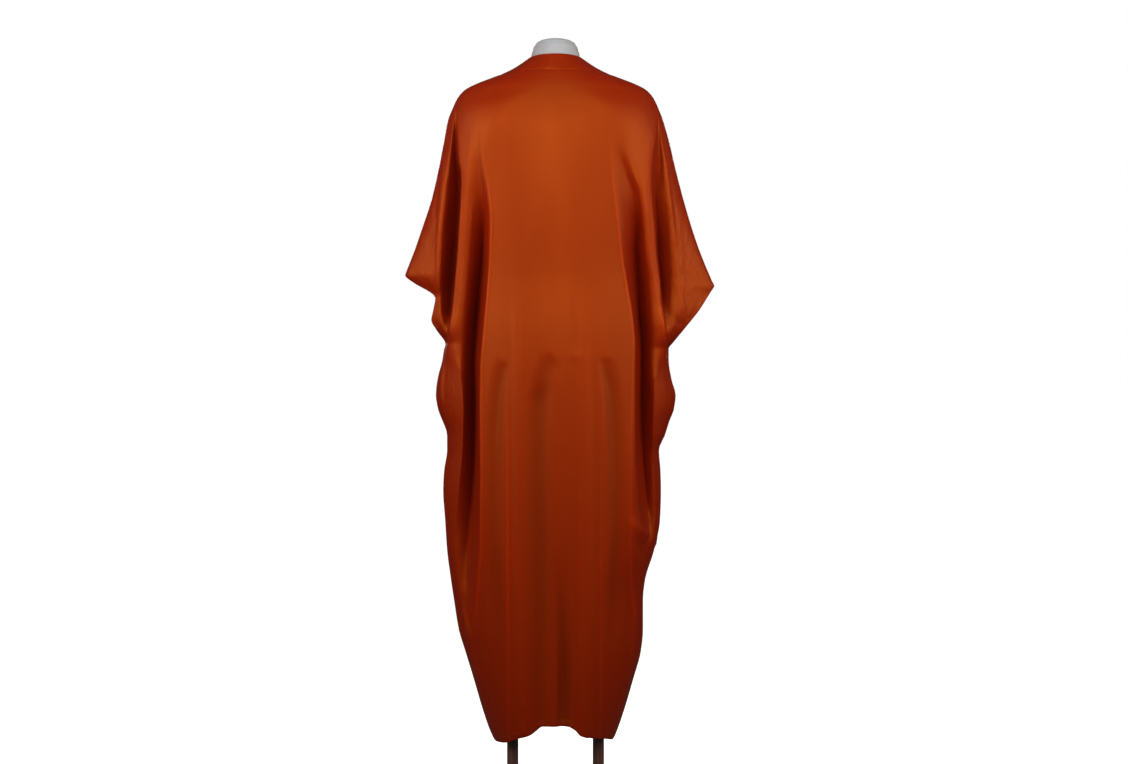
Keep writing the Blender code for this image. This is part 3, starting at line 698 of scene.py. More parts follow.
def cuff_gape(x, z):
    """How far the hull runs on past the cut edge of the cuff, which holds the cuff open."""
    low, high = by_hand_value(UNDERARM_Z, x), by_hand_value(CUFF_TIP_Z, x)
    t = np.clip((z - low) / (high - low), 0, 1)
    return CUFF_GAPE * np.sin(math.pi * t) ** CUFF_GAPE_POWER


def hull_share(reach, edge, z):
    """Depth of the unfolded hull as a share of its depth at the centre line."""
    start = ROUNDING(z)
    middle = np.exp(-((reach / SPREAD(z)) ** MIDDLE_POWER))
    out = np.clip((reach - start) / (edge - start), 0, 1)
    return middle * np.sqrt(1 - out * out)


def soft_rise(face, x, z):
    """Height of the soft long folds."""
    rise = np.zeros(np.broadcast(x, z).shape)
    for top_x, low_x, top_z, full_z, half_width, height in face.soft_folds:
        down = (top_z - z) / (top_z - HEM_BLEND_Z)
        centre = top_x + (low_x - top_x) * ease(down)
        t = np.clip((x - centre) / half_width, -1, 1)
        rise = rise + height * ease((top_z - z) / (top_z - full_z)) * (1 + np.cos(math.pi * t)) / 2
    return rise


def cloth_surface(face, x, z):
    """The cloth's outer face before its creases, at distance x from the centre line and height z."""
    reach = np.abs(x)
    edge = by_hand(OUTER_EDGE, x, z) + cuff_gape(x, z)
    depth = face.depth(z) * hull_share(reach, edge, z)
    for fold in face.folds:
        depth = depth * (1 - fold.depth(reach, x, z))
    depth = depth + soft_rise(face, x, z)
    y = SEAM_Y(z) + face.sign * (SEAM_GAP / 2 + depth)
    return np.stack((x + np.zeros_like(y), y, z + np.zeros_like(y)), axis=-1)


def fold_shade(face, x, z, relief):
    """How far inside a deep fold or a trough the cloth lies, from 0 to 1. A ridge is a little below 0. The
    satin paints shade into its colour by this mask, darker in the folds and troughs, and a painted highlight
    on the ridges.
    """
    reach = np.abs(x)
    deep = sum(fold.depth(reach, x, z) for fold in face.folds) / DEEP_FOLD
    return np.clip(deep - relief / TROUGH_DEPTH, -PAINTED_RIDGE_HIGHLIGHT, 1)


def rumple(x, z):
    """How rumpled the cloth is: smooth over the back, puckered on the sleeves and near the side seams."""
    reach = np.abs(x)
    sleeve = ease((reach - RUMPLE_REACH[0]) / (RUMPLE_REACH[1] - RUMPLE_REACH[0]))
    edge = ease((reach / by_hand(OUTER_EDGE, x, z) - RUMPLE_SHARE[0]) / (RUMPLE_SHARE[1] - RUMPLE_SHARE[0]))
    return np.maximum(sleeve, edge)


def row_height(face, x, z, edge):
    """Height of a column on a row that has height z at the seams."""
    return z - DIP(z) * (1 - np.abs(x) / edge) if face is FRONT else z + np.zeros_like(x)


def meeting(curve, height_at, reach):
    """Distance from the centre line where a curve over height meets a row."""
    places = np.linspace(0, reach, ROW_SAMPLES)
    ahead = curve(height_at(places)) - places
    past = np.nonzero(ahead <= 0)[0]
    if not len(past):
        return reach
    k = past[0]
    return float(np.interp(0, [-ahead[k - 1], -ahead[k]], places[k - 1:k + 1]))


def row_places(face, hand, height_at):
    """Distances of one row's columns from the centre line. They keep to the folds, and between these
    they are evenly spaced along the cloth. height_at gives the row's height at any distance."""
    edge = meeting(OUTER_EDGE[hand], height_at, WIDEST)
    curves = [POST_MARK[hand], SIDE_MARK[hand]]
    for fold in face.folds:
        curves += fold.marks(hand)
    inside = np.maximum.accumulate([meeting(curve, height_at, edge) for curve in curves])
    room = edge - LEAST_GAP * np.arange(len(inside), 0, -1)
    inside = np.minimum(inside, room)
    for i in range(1, len(inside)):
        inside[i] = max(inside[i], inside[i - 1] + LEAST_GAP)
    places = edge * np.sin(np.linspace(0, math.pi / 2, ROW_SAMPLES))
    x = np.maximum(places, STEP) * (1 if hand == LEFT else -1)
    points = cloth_surface(face, x, height_at(places))
    steps = np.linalg.norm(np.diff(points, axis=0), axis=1)
    along = np.concatenate(([0], np.cumsum(steps)))
    stops = np.interp(np.concatenate(([0], inside, [edge])), places, along)
    spots = [np.linspace(a, b, count + 1)[1:] for a, b, count in zip(stops, stops[1:], COLUMNS)]
    return np.interp(np.concatenate(([0], *spots)), along, places)


def level_row(face, z):
    """Height along a row that is at z at the seams, as a function of the distance."""
    return lambda hand: lambda reach: row_height(face, np.asarray(reach), z, float(OUTER_EDGE[hand](z)))


def hem_row(face, share):
    """Height along a row between the last level one and the hem, as a function of the distance."""
    return lambda hand: lambda reach: HEM_BLEND_Z - share * (HEM_BLEND_Z - face.hem[hand](np.asarray(reach)))


def panel_rows(face):
    """The grid of one panel: x and z of each point, from the neck's seam to the hem."""
    heights = [BAND_Z - BAND_GAP]
    for end, count in ROW_STRETCHES:
        heights += list(np.linspace(heights[-1], end, count + 1)[1:])
    rows = [level_row(face, z) for z in heights]
    down = np.arange(1, HEM_ROWS + 1) / HEM_ROWS
    rows += [hem_row(face, share) for share in 1 - (1 - down) ** HEM_ROW_POWER]
    grid = []
    for row in rows:
        left, right = (row_places(face, hand, row(hand)) for hand in (LEFT, RIGHT))
        x = np.concatenate((-right[:0:-1], left))
        z = np.concatenate((row(RIGHT)(right)[:0:-1], row(LEFT)(left)))
        grid.append((x, z))
    return np.array([row[0] for row in grid]), np.array([row[1] for row in grid])


def grid_normals(points, sign, ring=False):
    """Directions out of a grid whose columns run to +X on the back."""
    if ring:
        across = np.roll(points, -1, axis=1) - np.roll(points, 1, axis=1)
    else:
        across = np.gradient(points, axis=1)
    down = np.gradient(points, axis=0)
    normals = np.cross(across, down) * sign
    return normals / np.linalg.norm(normals, axis=-1, keepdims=True)


def crease_line(path):
    """Points of a crease's smooth path with the rise at each, and its directions."""
    path = np.array(path)
    lengths = np.linalg.norm(np.diff(path[:, :2], axis=0), axis=1)
    at = np.concatenate(([0], np.cumsum(lengths)))
    rows = [tuple(row) for row in np.column_stack((at, path))]
    steps = np.linspace(0, at[-1], PATH_STEPS)
    line = np.column_stack([Curve(rows, column)(steps) for column in (1, 2, 3)])
    ways = np.gradient(line[:, :2], axis=0)
    return line, ways / np.linalg.norm(ways, axis=1, keepdims=True)


def crease_relief(creases, x, z):
    """Height of all the creases of one face."""
    relief = np.zeros_like(x)
    for plus, minus, *path in creases:
        crisp = path[0] == CRISP
        line, ways = crease_line(path[1:] if crisp else path)
        reach = max(plus, minus)
        near = (
            (x > line[:, 0].min() - reach) & (x < line[:, 0].max() + reach)
            & (z > line[:, 1].min() - reach) & (z < line[:, 1].max() + reach)
        )
        off_x = x[near][:, None] - line[:, 0]
        off_z = z[near][:, None] - line[:, 1]
        k = np.argmin(off_x ** 2 + off_z ** 2, axis=1)
        pick = np.arange(len(k))
        way = ways[k]
        side = -off_x[pick, k] * way[:, 1] + off_z[pick, k] * way[:, 0]
        past = np.abs(off_x[pick, k] * way[:, 0] + off_z[pick, k] * way[:, 1])
        t = np.clip(np.abs(side) / np.where(side > 0, plus, minus), 0, 1)
        shape = (1 - t) ** 2 * (1 if crisp else 1 + 2 * t)
        shape = shape * ease(1 - (past - reach) / reach)
        relief[near] += line[k, 2] * shape
    return relief


def line_relief(x, z):
    """Height of the thin pressed ridges of the back, and a mask along them that makes the satin less rough
    and paints a highlight into its colour.
    """
    relief = np.zeros_like(x)
    for table, half_width in BACK_LINES:
        t = np.clip(np.abs(np.abs(x) - by_hand(both_hands(table, 1), x, z)) / half_width, 0, 1)
        relief += by_hand(both_hands(table, 3), x, z) * (1 - t) ** 2
    return relief, np.clip(relief / LINE_PRESS, 0, 1)


def along_columns(points):
    """Length along each column from its last row."""
    steps = np.linalg.norm(np.diff(points, axis=0), axis=-1)
    return np.concatenate((np.cumsum(steps[::-1], axis=0)[::-1], np.zeros_like(steps[:1])))


def along_rows(points):
    """Length along each row from its first column."""
    steps = np.linalg.norm(np.diff(points, axis=1), axis=-1)
    return np.concatenate((np.zeros_like(steps[:, :1]), np.cumsum(steps, axis=1)), axis=1)


def turned_edge(distance, width):
    """Height of a turned and stitched edge: double cloth, with a small dip at its stitches."""
    double = TURN_RISE * ease((width - distance) / TURN_STEP + 0.5)
    dip = -STITCH_DIP * np.exp(-((distance - width + STITCH_INSET) / STITCH_REACH) ** 2)
    rolled = -ROLL_DIP * np.exp(-distance / ROLL_REACH)
    return double + dip + rolled


def panel_grid(face):
    """Outer points of one panel with creases, seams, turned hem and cuffs, and the lengths along it."""
    x, z = panel_rows(face)
    points = cloth_surface(face, x, z)
    normals = grid_normals(points, face.sign)
    relief = crease_relief(face.creases, x, z)
    # The fold mask paints shade into the satin's colour in the folds and troughs and a highlight on the
    # ridges; the rumple mask only raises bumps
    masks = {"fold": fold_shade(face, x, z, relief), "rumple": rumple(x, z)}
    if face is BACK:
        # The mask of the thin ridges paints a highlight into the satin's colour along them and makes them
        # less rough
        ridges, masks["pressed_and_painted_highlight"] = line_relief(x, z)
        relief = relief + ridges
    to_hem = along_columns(points)
    from_right = along_rows(points)
    to_edge = np.minimum(from_right, from_right[:, -1:] - from_right)
    from_neck = to_hem[:1] - to_hem
    in_cuff = np.minimum(by_hand_value(CUFF_TIP_Z, x) - z, z - by_hand_value(UNDERARM_Z, x))
    relief = relief * ease(to_edge / EDGE_FADE) * ease(from_neck / NECK_FADE)
    relief += ease(to_edge / TURN_FADE) * turned_edge(to_hem, HEM_TURN)
    relief += ease(in_cuff / CUFF_FADE) * turned_edge(to_edge, CUFF_TURN)
    relief -= SEAM_DIP * np.exp(-from_neck / SEAM_REACH)
    return points + normals * relief[..., None], from_right, to_hem, masks


def mesh_object(name, points, faces, material, uv=None):
    """A smooth mesh object from arrays. uv has one place for each corner, in metres along the cloth."""
    mesh = bpy.data.meshes.new(name)
    mesh.from_pydata(points.reshape(-1, 3).tolist(), [], faces.tolist())
    mesh.materials.append(material)
    if uv is not None:
        layer = mesh.uv_layers.new(name="cloth")
        layer.data.foreach_set("uv", uv[faces.reshape(-1)].reshape(-1))
    mesh.shade_smooth()
    mesh.set_sharp_from_angle(angle=math.radians(SHARP_ANGLE))
    item = bpy.data.objects.new(name, mesh)
    bpy.context.scene.collection.objects.link(item)
    return item


def shell_faces(rows, columns, ring=False):
    """Faces of a closed wall between an outer and an inner grid."""
    i, j = np.meshgrid(np.arange(rows - 1), np.arange(columns if ring else columns - 1), indexing="ij")
    k = (j + 1) % columns
    above, below = i * columns, (i + 1) * columns
    outer = np.stack((above + j, below + j, below + k, above + k), axis=-1).reshape(-1, 4)
    under = rows * columns
    inner = outer[:, ::-1] + under
    rims = []
    for row, flip in ((0, False), (rows - 1, True)):
        a = row * columns + np.arange(columns if ring else columns - 1)
        b = row * columns + (np.arange(len(a)) + 1) % columns
        rim = np.stack((a, b, b + under, a + under), axis=-1)
        rims.append(rim[:, ::-1] if flip else rim)
    for column, flip in () if ring else ((0, True), (columns - 1, False)):
        a = np.arange(rows - 1) * columns + column
        b = a + columns
        rim = np.stack((a, b, b + under, a + under), axis=-1)
        rims.append(rim[:, ::-1] if flip else rim)
    return np.concatenate([outer, inner, *rims])[:, ::-1]


def shell_object(name, outer, inner, lengths, material, masks, ring=False):
    """A closed wall between two grids. Each mask becomes a point attribute that the material reads."""
    rows, columns = outer.shape[:2]
    points = np.stack((outer, inner))
    uv = np.tile(np.stack(lengths, axis=-1).reshape(-1, 2), (2, 1))
    item = mesh_object(name, points, shell_faces(rows, columns, ring), material, uv)
    for label, mask in masks.items():
        layer = item.data.attributes.new(label, "FLOAT", "POINT")
        layer.data.foreach_set("value", np.tile(mask.reshape(-1), 2))
    return item


def build_panel(name, face, material):
    """One panel as a closed wall, and its grid, which the stitches follow."""
    outer, across, down, masks = panel_grid(face)
    normals = grid_normals(outer, face.sign)
    for column, turn in ((0, -1), (-1, 1)):
        side = outer[:, column]
        along = np.gradient(side, axis=0)
        out = np.stack((-turn * along[:, 2], np.zeros(len(side)), turn * along[:, 0]), axis=-1)
        normals[:, column] = out / np.linalg.norm(out, axis=-1, keepdims=True)
    inner = outer - CLOTH * normals
    grid = (outer, across, down, normals)
    if face is FRONT:
        outer, inner, across, down = (array[:, ::-1] for array in (outer, inner, across, down))
        masks = {label: mask[:, ::-1] for label, mask in masks.items()}
    return shell_object(name, outer, inner, (across, down), material, masks), grid


def ring_shares():
    """Columns of a ring round the garment: signed shares of the half width, on the back and the front."""
    back = np.sin(np.linspace(-math.pi / 2, math.pi / 2, RING_COLUMNS + 1))
    return back, back[-2:0:-1]


def ring_rows(heights, edges):
    """Points of rings on the hull at seam heights with their half widths, back columns first."""
    back_shares, front_shares = ring_shares()
    rows = []
    for z, edge in zip(heights, edges):
        row = []
        for face, shares in ((BACK, back_shares), (FRONT, front_shares)):
            x = shares * edge
            points = cloth_surface(face, x, row_height(face, x, z, edge))
            points[np.abs(shares) > 1 - STEP, 1] = SEAM_Y(z)
            row.append(points)
        rows.append(np.concatenate(row))
    return np.array(rows)


def build_neck_band(material):
    """The neck band: one ring of double cloth, rolled at the neck and set in at the seam."""
    heights = np.linspace(NECK_Z, BAND_Z, BAND_ROWS)
    points = ring_rows(heights, OUTER_EDGE[LEFT](heights))
    normals = grid_normals(points, 1, ring=True)
    to_seam = along_columns(points)
    from_neck = to_seam[:1] - to_seam
    relief = -BAND_ROLL_DIP * np.exp(-from_neck / BAND_ROLL_REACH) - SEAM_DIP * np.exp(-to_seam / SEAM_REACH)
    wrinkles = crease_relief(BAND_CREASES, points[..., 0], points[..., 2]) * (points[..., 1] > 0)
    relief = relief + wrinkles * ease(from_neck / BAND_FADE) * ease(to_seam / BAND_FADE)
    outer = points + normals * relief[..., None]
    inner = outer - BAND_CLOTH * normals
    lengths = (along_rows(outer), to_seam)
    # Painted shade in the band's wrinkle troughs and a painted highlight on its wrinkle ridges, for the
    # satin's colour
    fold = np.clip(-wrinkles / TROUGH_DEPTH, -PAINTED_RIDGE_HIGHLIGHT, 1)
    masks = {"fold": fold, "rumple": np.full_like(wrinkles, BAND_RUMPLE)}
    return shell_object("neck_band_cloth", outer, inner, lengths, material, masks, ring=True)


def form_neck_ring(z, half_width, dip_share):
    """A ring of the neck stub. At the front it dips to the chest that the V neck shows."""
    row = []
    for face, shares in zip((BACK, FRONT), ring_shares()):
        height = z - dip_share * DIP(NECK_Z) * (1 - np.abs(shares)) * (face is FRONT)
        depth = (face.depth(height) - FORM_NECK_INSET) * half_width / STUB_HALF_WIDTH
        x = shares * half_width
        hull = np.where(height < NECK_Z, OUTER_EDGE[LEFT](height), half_width)
        y = depth * hull_share(np.abs(x), hull, height)
        row.append(np.stack((x, face.sign * y, height), axis=-1))
    return np.concatenate(row)


def form_torso_ring(z):
    """A ring of the torso, a plain oval with its own depth before and behind."""
    half_width, behind, before = TORSO_CURVES
    row = []
    for face, shares in zip((BACK, FRONT), ring_shares()):
        height = row_height(face, shares, z, 1.0)
        depth = behind(height) if face is BACK else before(height)
        x = shares * half_width(z)
        y = depth * np.sqrt(np.maximum(1 - (x / half_width(height)) ** 2, 0))
        row.append(np.stack((x, SEAM_Y(z) * FORM_SEAM_FOLLOW + face.sign * y, height), axis=-1))
    return np.concatenate(row)


def build_form(material):
    """The linen cover over the torso and the neck stub, one smooth closed skin."""
    neck_rows = sorted(FORM_NECK)
    neck_z = np.linspace(neck_rows[-1][0], neck_rows[0][0], FORM_NECK_ROWS)
    half_width, dip_share = Curve(FORM_NECK, 1), Curve(FORM_NECK, 2)
    rings = [form_neck_ring(z, half_width(z), dip_share(z)) for z in neck_z]
    top = rings[0]
    middle = top.mean(axis=0)
    for share, rise in FORM_TOP:
        ring = middle + (top - middle) * share
        ring[:, 2] = top[:, 2] + rise
        rings.insert(0, ring)
    heights = np.linspace(NECK_Z, FORM_SHOULDER_Z, FORM_SHOULDER_ROWS)
    shoulder = ring_rows(heights, OUTER_EDGE[LEFT](heights))
    shares = np.concatenate(ring_shares())
    depth = FORM_SKIN_DEPTH + FORM_SLACK * np.sqrt(np.maximum(1 - np.abs(shares), 0))
    shoulder = shoulder - depth[:, None] * grid_normals(shoulder, 1, ring=True)
    rings += list(shoulder)
    torso_z = np.linspace(FORM_TORSO[0][0], FORM_TORSO[-1][0], FORM_TORSO_ROWS)
    rings += [form_torso_ring(z) for z in sorted({round(z, 4) for z in torso_z}, reverse=True)]
    base = rings[-1]
    centre = base.mean(axis=0)
    flat = [True, True, False]
    rings += [np.where(flat, centre + (base - centre) * share, base) for share in FORM_BASE_SHARES]
    points = np.array(rings)
    rows, columns = points.shape[:2]
    faces = shell_faces(rows, columns, ring=True)[: (rows - 1) * columns]
    uv = np.stack((along_rows(points), along_columns(points)), axis=-1).reshape(-1, 2)
    item = mesh_object("form_cover", points, faces, material, uv)
    shape = bmesh.new()
    shape.from_mesh(item.data)
    bmesh.ops.holes_fill(shape, edges=[edge for edge in shape.edges if edge.is_boundary], sides=0)
    shape.to_mesh(item.data)
    shape.free()
    return item


def on_line(at, along, line):
    """Places at lengths along a line of points."""
    return np.stack([np.interp(at, along, line[:, axis]) for axis in range(3)], axis=-1)


def resampled(line, pitch):
    """Places at an even pitch along a line of points, each with its direction."""
    steps = np.linalg.norm(np.diff(line, axis=0), axis=1)
    along = np.concatenate(([0], np.cumsum(steps)))
    count = max(int(along[-1] / pitch), 2)
    at = (np.arange(count) + 0.5) * along[-1] / count
    ways = on_line(at + pitch / 4, along, line) - on_line(at - pitch / 4, along, line)
    return on_line(at, along, line), ways / np.linalg.norm(ways, axis=1, keepdims=True), at, along


def build_stitches(name, runs, material):
    """Rows of small thread stitches along lines on the cloth, one joined mesh."""
    angles = np.arange(STITCH_SIDES) * 2 * math.pi / STITCH_SIDES
    points, faces = [], []
    start = 0
    for line, line_normals in runs:
        places, ways, at, along = resampled(line, STITCH_LENGTH + STITCH_GAP)
        sides = np.cross(on_line(at, along, line_normals), ways)
        sides /= np.linalg.norm(sides, axis=1, keepdims=True)
        ups = np.cross(ways, sides)
        for place, way, side, up in zip(places, ways, sides, ups):
            for along_share, size, lift in STITCH_RINGS:
                centre = place + way * STITCH_LENGTH / 2 * along_share + up * STITCH_RADIUS * lift
                ring = np.outer(np.cos(angles), side) + np.outer(np.sin(angles), up)
                points.append(centre + ring * STITCH_RADIUS * size)
            for ring in range(len(STITCH_RINGS) - 1):
                for i in range(STITCH_SIDES):
                    j = (i + 1) % STITCH_SIDES
                    a, b = start + ring * STITCH_SIDES, start + (ring + 1) * STITCH_SIDES
                    faces.append((a + i, a + j, b + j, b + i))
            end = start + (len(STITCH_RINGS) - 1) * STITCH_SIDES
            for a, b, c, d in ((0, 1, 2, 3), (0, 3, 4, 5)):
                faces.append((start + d, start + c, start + b, start + a))
                faces.append((end + a, end + b, end + c, end + d))
            start += len(STITCH_RINGS) * STITCH_SIDES
    return mesh_object(name, np.concatenate(points), np.array(faces), material)


def line_at(points, distance, at):
    """The line on a grid of points that lies at one distance along each of its columns."""
    line = []
    for column in range(points.shape[1]):
        order = np.argsort(distance[:, column])
        line.append(on_line(at, distance[order, column], points[order, column]))
    return np.array(line)


def stitch_runs(grid):
    """Stitch lines of one panel: along the hem and along both cuffs."""
    points, across, down, normals = grid
    inner = slice(STITCH_MARGIN, -STITCH_MARGIN)
    runs = [(line_at(points, down, HEM_TURN - STITCH_INSET)[inner], normals[-HEM_STITCH_ROW, inner])]
    for turn in (1, -1):
        side, side_normals = points[:, ::turn], normals[:, ::turn]
        hand = RIGHT if turn == 1 else LEFT
        edge = side[:, 0]
        low, high = UNDERARM_Z[hand] + STITCH_END_GAP, CUFF_TIP_Z[hand] - STITCH_END_GAP
        rows = np.nonzero((edge[:, 2] < high) & (edge[:, 2] > low))[0]
        length = along_rows(side[rows]).T
        strips = (part[rows].transpose(1, 0, 2) for part in (side, side_normals))
        runs.append(tuple(line_at(strip, length, CUFF_TURN - STITCH_INSET) for strip in strips))
    return runs


def node_group(name, inputs, outputs):
    """A shader node group with named sockets, given as name, kind and value."""
    group = bpy.data.node_groups.new(name, "ShaderNodeTree")
    for label, kind, value in inputs:
        socket = group.interface.new_socket(label, in_out="INPUT", socket_type=f"NodeSocket{kind}")
        if value is not None:
            socket.default_value = value
    for label, kind in outputs:
        group.interface.new_socket(label, in_out="OUTPUT", socket_type=f"NodeSocket{kind}")
    return group, Nodes(group)


class Nodes:
    """Short calls to add and join the nodes of one tree."""

    def __init__(self, tree):
        self.tree = tree

    def add(self, kind, settings=None, **values):
        node = self.tree.nodes.new(f"ShaderNode{kind}")
        for label, value in (settings or {}).items():
            setattr(node, label, value)
        for label, value in values.items():
            self.give(node, label.replace("_", " "), value)
        return node

    def give(self, node, label, value):
        """Sets a socket, or joins it to another node's output."""
        socket = node.inputs[int(label)] if label.isdigit() else node.inputs[label]
        if isinstance(value, bpy.types.NodeSocket):
            self.tree.links.new(value, socket)
        else:
            socket.default_value = value

    def put(self, **outputs):
        """Joins the outputs of a group."""
        end = self.tree.nodes.new("NodeGroupOutput")
        for label, value in outputs.items():
            self.tree.links.new(value, end.inputs[label])

    def body(self):
        """Places on the object, in metres."""
        return self.add("TexCoord").outputs["Object"]

    def cloth(self):
        """Places along the cloth, in metres."""
        return self.add("UVMap", {"uv_map": "cloth"}).outputs[0]

    def mask(self, name):
        """A mask that the mesh carries."""
        return self.add("Attribute", {"attribute_name": name}).outputs["Fac"]

    def math(self, operation, a, b=0.0, c=0.0):
        node = self.add("Math", {"operation": operation})
        for i, value in enumerate((a, b, c)):
            self.give(node, str(i), value)
        return node.outputs[0]

    def scaled(self, value, gain, base):
        """The value times the gain, on top of the base."""
        return self.math("MULTIPLY_ADD", value, gain, base)

    def mix(self, share, a, b, blend="MIX"):
        node = self.add("Mix", {"data_type": "RGBA", "blend_type": blend})
        self.give(node, "0", share)
        self.give(node, "6", a)
        self.give(node, "7", b)
        return node.outputs[2]

    def noise(self, vector, scale, detail=3.0, roughness=0.5, distortion=0.0):
        node = self.add("TexNoise", None, Vector=vector, Scale=scale, Detail=detail, Roughness=roughness,
                        Distortion=distortion)
        return node.outputs["Fac"]

    def stretch(self, vector, scale):
        node = self.add("Mapping", None, Vector=vector, Scale=scale)
        return node.outputs[0]

    def ramp(self, value, low, high):
        node = self.add("MapRange", {"interpolation_type": "SMOOTHSTEP"}, Value=value)
        self.give(node, "From Min", low)
        self.give(node, "From Max", high)
        return node.outputs[0]


def drift_group():
    """Slow change of tone over a surface: the colour goes between two near ones, with a mask."""
    group, nodes = node_group(
        "tone drift",
        (("Vector", "Vector", None), ("Light", "Color", (1, 1, 1, 1)), ("Deep", "Color", (0, 0, 0, 1)),
         ("Scale", "Float", 6.0), ("Amount", "Float", 0.5)),
        (("Color", "Color"), ("Mask", "Float")),
    )
    given = group.nodes.new("NodeGroupInput").outputs
    broad = nodes.noise(given["Vector"], given["Scale"], 4.0, 0.55, 0.4)
    mask = nodes.ramp(broad, 0.34, 0.66)
    share = nodes.math("MULTIPLY", mask, given["Amount"])
    colour = nodes.mix(share, given["Light"], given["Deep"])
    nodes.put(Color=colour, Mask=mask)
    return group


def weave_group():
    """Crossing threads at a pitch in metres, with slubs: height and a thread mask."""
    group, nodes = node_group(
        "weave",
        (("Vector", "Vector", None), ("Pitch", "Float", 0.0008), ("Slub", "Float", 0.3)),
        (("Height", "Float"), ("Mask", "Float")),
    )
    given = group.nodes.new("NodeGroupInput").outputs
    parts = nodes.add("SeparateXYZ", None, Vector=given["Vector"])
    turn = nodes.math("DIVIDE", 2 * math.pi, given["Pitch"])
    slub = nodes.noise(nodes.stretch(given["Vector"], (90.0, 700.0, 90.0)), 1.0, 2.0)
    warp = nodes.math("SINE", nodes.math("MULTIPLY", parts.outputs[0], turn))
    weft = nodes.math("SINE", nodes.math("MULTIPLY", parts.outputs[1], turn))
    threads = nodes.math("MULTIPLY", warp, weft)
    height = nodes.scaled(slub, given["Slub"], nodes.math("MULTIPLY", threads, 0.5))
    mask = nodes.ramp(height, -0.4, 0.6)
    nodes.put(Height=height, Mask=mask)
    return group


def streak_group():
    """Fine long streaks, as of satin floats or wood grain: value along one direction of the surface."""
    group, nodes = node_group(
        "streaks",
        (("Vector", "Vector", None), ("Fine", "Vector", (2500.0, 160.0, 2500.0)), ("Contrast", "Float", 0.5)),
        (("Value", "Float"),),
    )
    given = group.nodes.new("NodeGroupInput").outputs
    fine = nodes.noise(nodes.stretch(given["Vector"], given["Fine"]), 1.0, 3.0, 0.6)
    nodes.put(Value=nodes.scaled(nodes.math("SUBTRACT", fine, 0.5), given["Contrast"], 0.5))
    return group


def new_material(name):
    """A material with its nodes and its shader."""
    material = bpy.data.materials.new(name)
    material.use_nodes = True
    nodes = Nodes(material.node_tree)
    return material, nodes, material.node_tree.nodes["Principled BSDF"]


def place_group(nodes, group, **values):
    """A node group with its inputs set or joined."""
    node = nodes.tree.nodes.new("ShaderNodeGroup")
    node.node_tree = group
    for label, value in values.items():
        nodes.give(node, label, value)
    return node


def finish(nodes, shader, colour, rough, height, strength):
    """Joins a shader's colour and roughness, and a bump from a height."""
    nodes.give(shader, "Base Color", colour)
    nodes.give(shader, "Roughness", rough)
    bump = nodes.add("Bump", None, Height=height, Strength=strength, Distance=BUMP_DISTANCE)
    nodes.give(shader, "Normal", bump.outputs[0])


def satin_material(name, groups, light, deep):
    """Burnt orange satin: deep red body, orange gloss, fine floats along the warp, darkened by painted shade
    in the folds and lightened by painted highlights on the ridges.
    """
    drift, _, streaks = groups
    material, nodes, shader = new_material(name)
    cloth = nodes.cloth()
    body = nodes.body()
    along = nodes.stretch(body, (2.4, 2.4, 0.5))
    tone = place_group(nodes, drift, Vector=along, Light=light, Deep=deep, Scale=7.0, Amount=0.45)
    floats = place_group(nodes, streaks, Vector=cloth, Fine=(2600.0, 220.0, 1.0), Contrast=0.9)
    warp = place_group(nodes, streaks, Vector=cloth, Fine=(340.0, 5.0, 1.0), Contrast=1.0)
    weft = place_group(nodes, streaks, Vector=cloth, Fine=(5.0, 340.0, 1.0), Contrast=1.0)
    threads = nodes.math("ADD", warp.outputs["Value"], weft.outputs["Value"])
    shade = nodes.scaled(floats.outputs["Value"], 0.20, 0.82)
    shade = nodes.scaled(threads, 0.08, shade)
    # Painted highlight: the colour is lightened along the thin pressed ridges, which are also less rough
    pressed_and_painted_highlight = nodes.mask("pressed_and_painted_highlight")
    shade = nodes.scaled(pressed_and_painted_highlight, PAINTED_HIGHLIGHT_GAIN, shade)
    # Painted shade: the colour is darkened deep in the folds and troughs, and lightened a little on the
    # ridges as a painted highlight
    fold = nodes.mask("fold")
    shade = nodes.math("MULTIPLY", shade, nodes.scaled(fold, -PAINTED_FOLD_SHADE, 1.0))
    colour = nodes.mix(1.0, tone.outputs["Color"], shade, "MULTIPLY")
    rough = nodes.scaled(tone.outputs["Mask"], 0.05, SATIN_ROUGHNESS)
    rough = nodes.scaled(pressed_and_painted_highlight, -PRESSED_SHINE, rough)
    rough = nodes.scaled(floats.outputs["Value"], 0.06, rough)
    shader.inputs["IOR"].default_value = SATIN_IOR
    shader.inputs["Specular IOR Level"].default_value = SATIN_SPECULAR
    shader.inputs["Specular Tint"].default_value = SATIN_GLOSS
    wrinkles = nodes.noise(nodes.stretch(body, (26.0, 26.0, 7.0)), 1.0, 4.0, 0.55)
    puckers = nodes.noise(nodes.stretch(body, (42.0, 42.0, 24.0)), 1.0, 2.0, 0.5, 0.6)
    rumpled = nodes.mask("rumple")
    height = nodes.scaled(wrinkles, 10.0, nodes.math("MULTIPLY", floats.outputs["Value"], 0.25))
    height = nodes.scaled(nodes.math("MULTIPLY", puckers, rumpled), 32.0, height)
    finish(nodes, shader, colour, rough, height, 0.35)
    return material


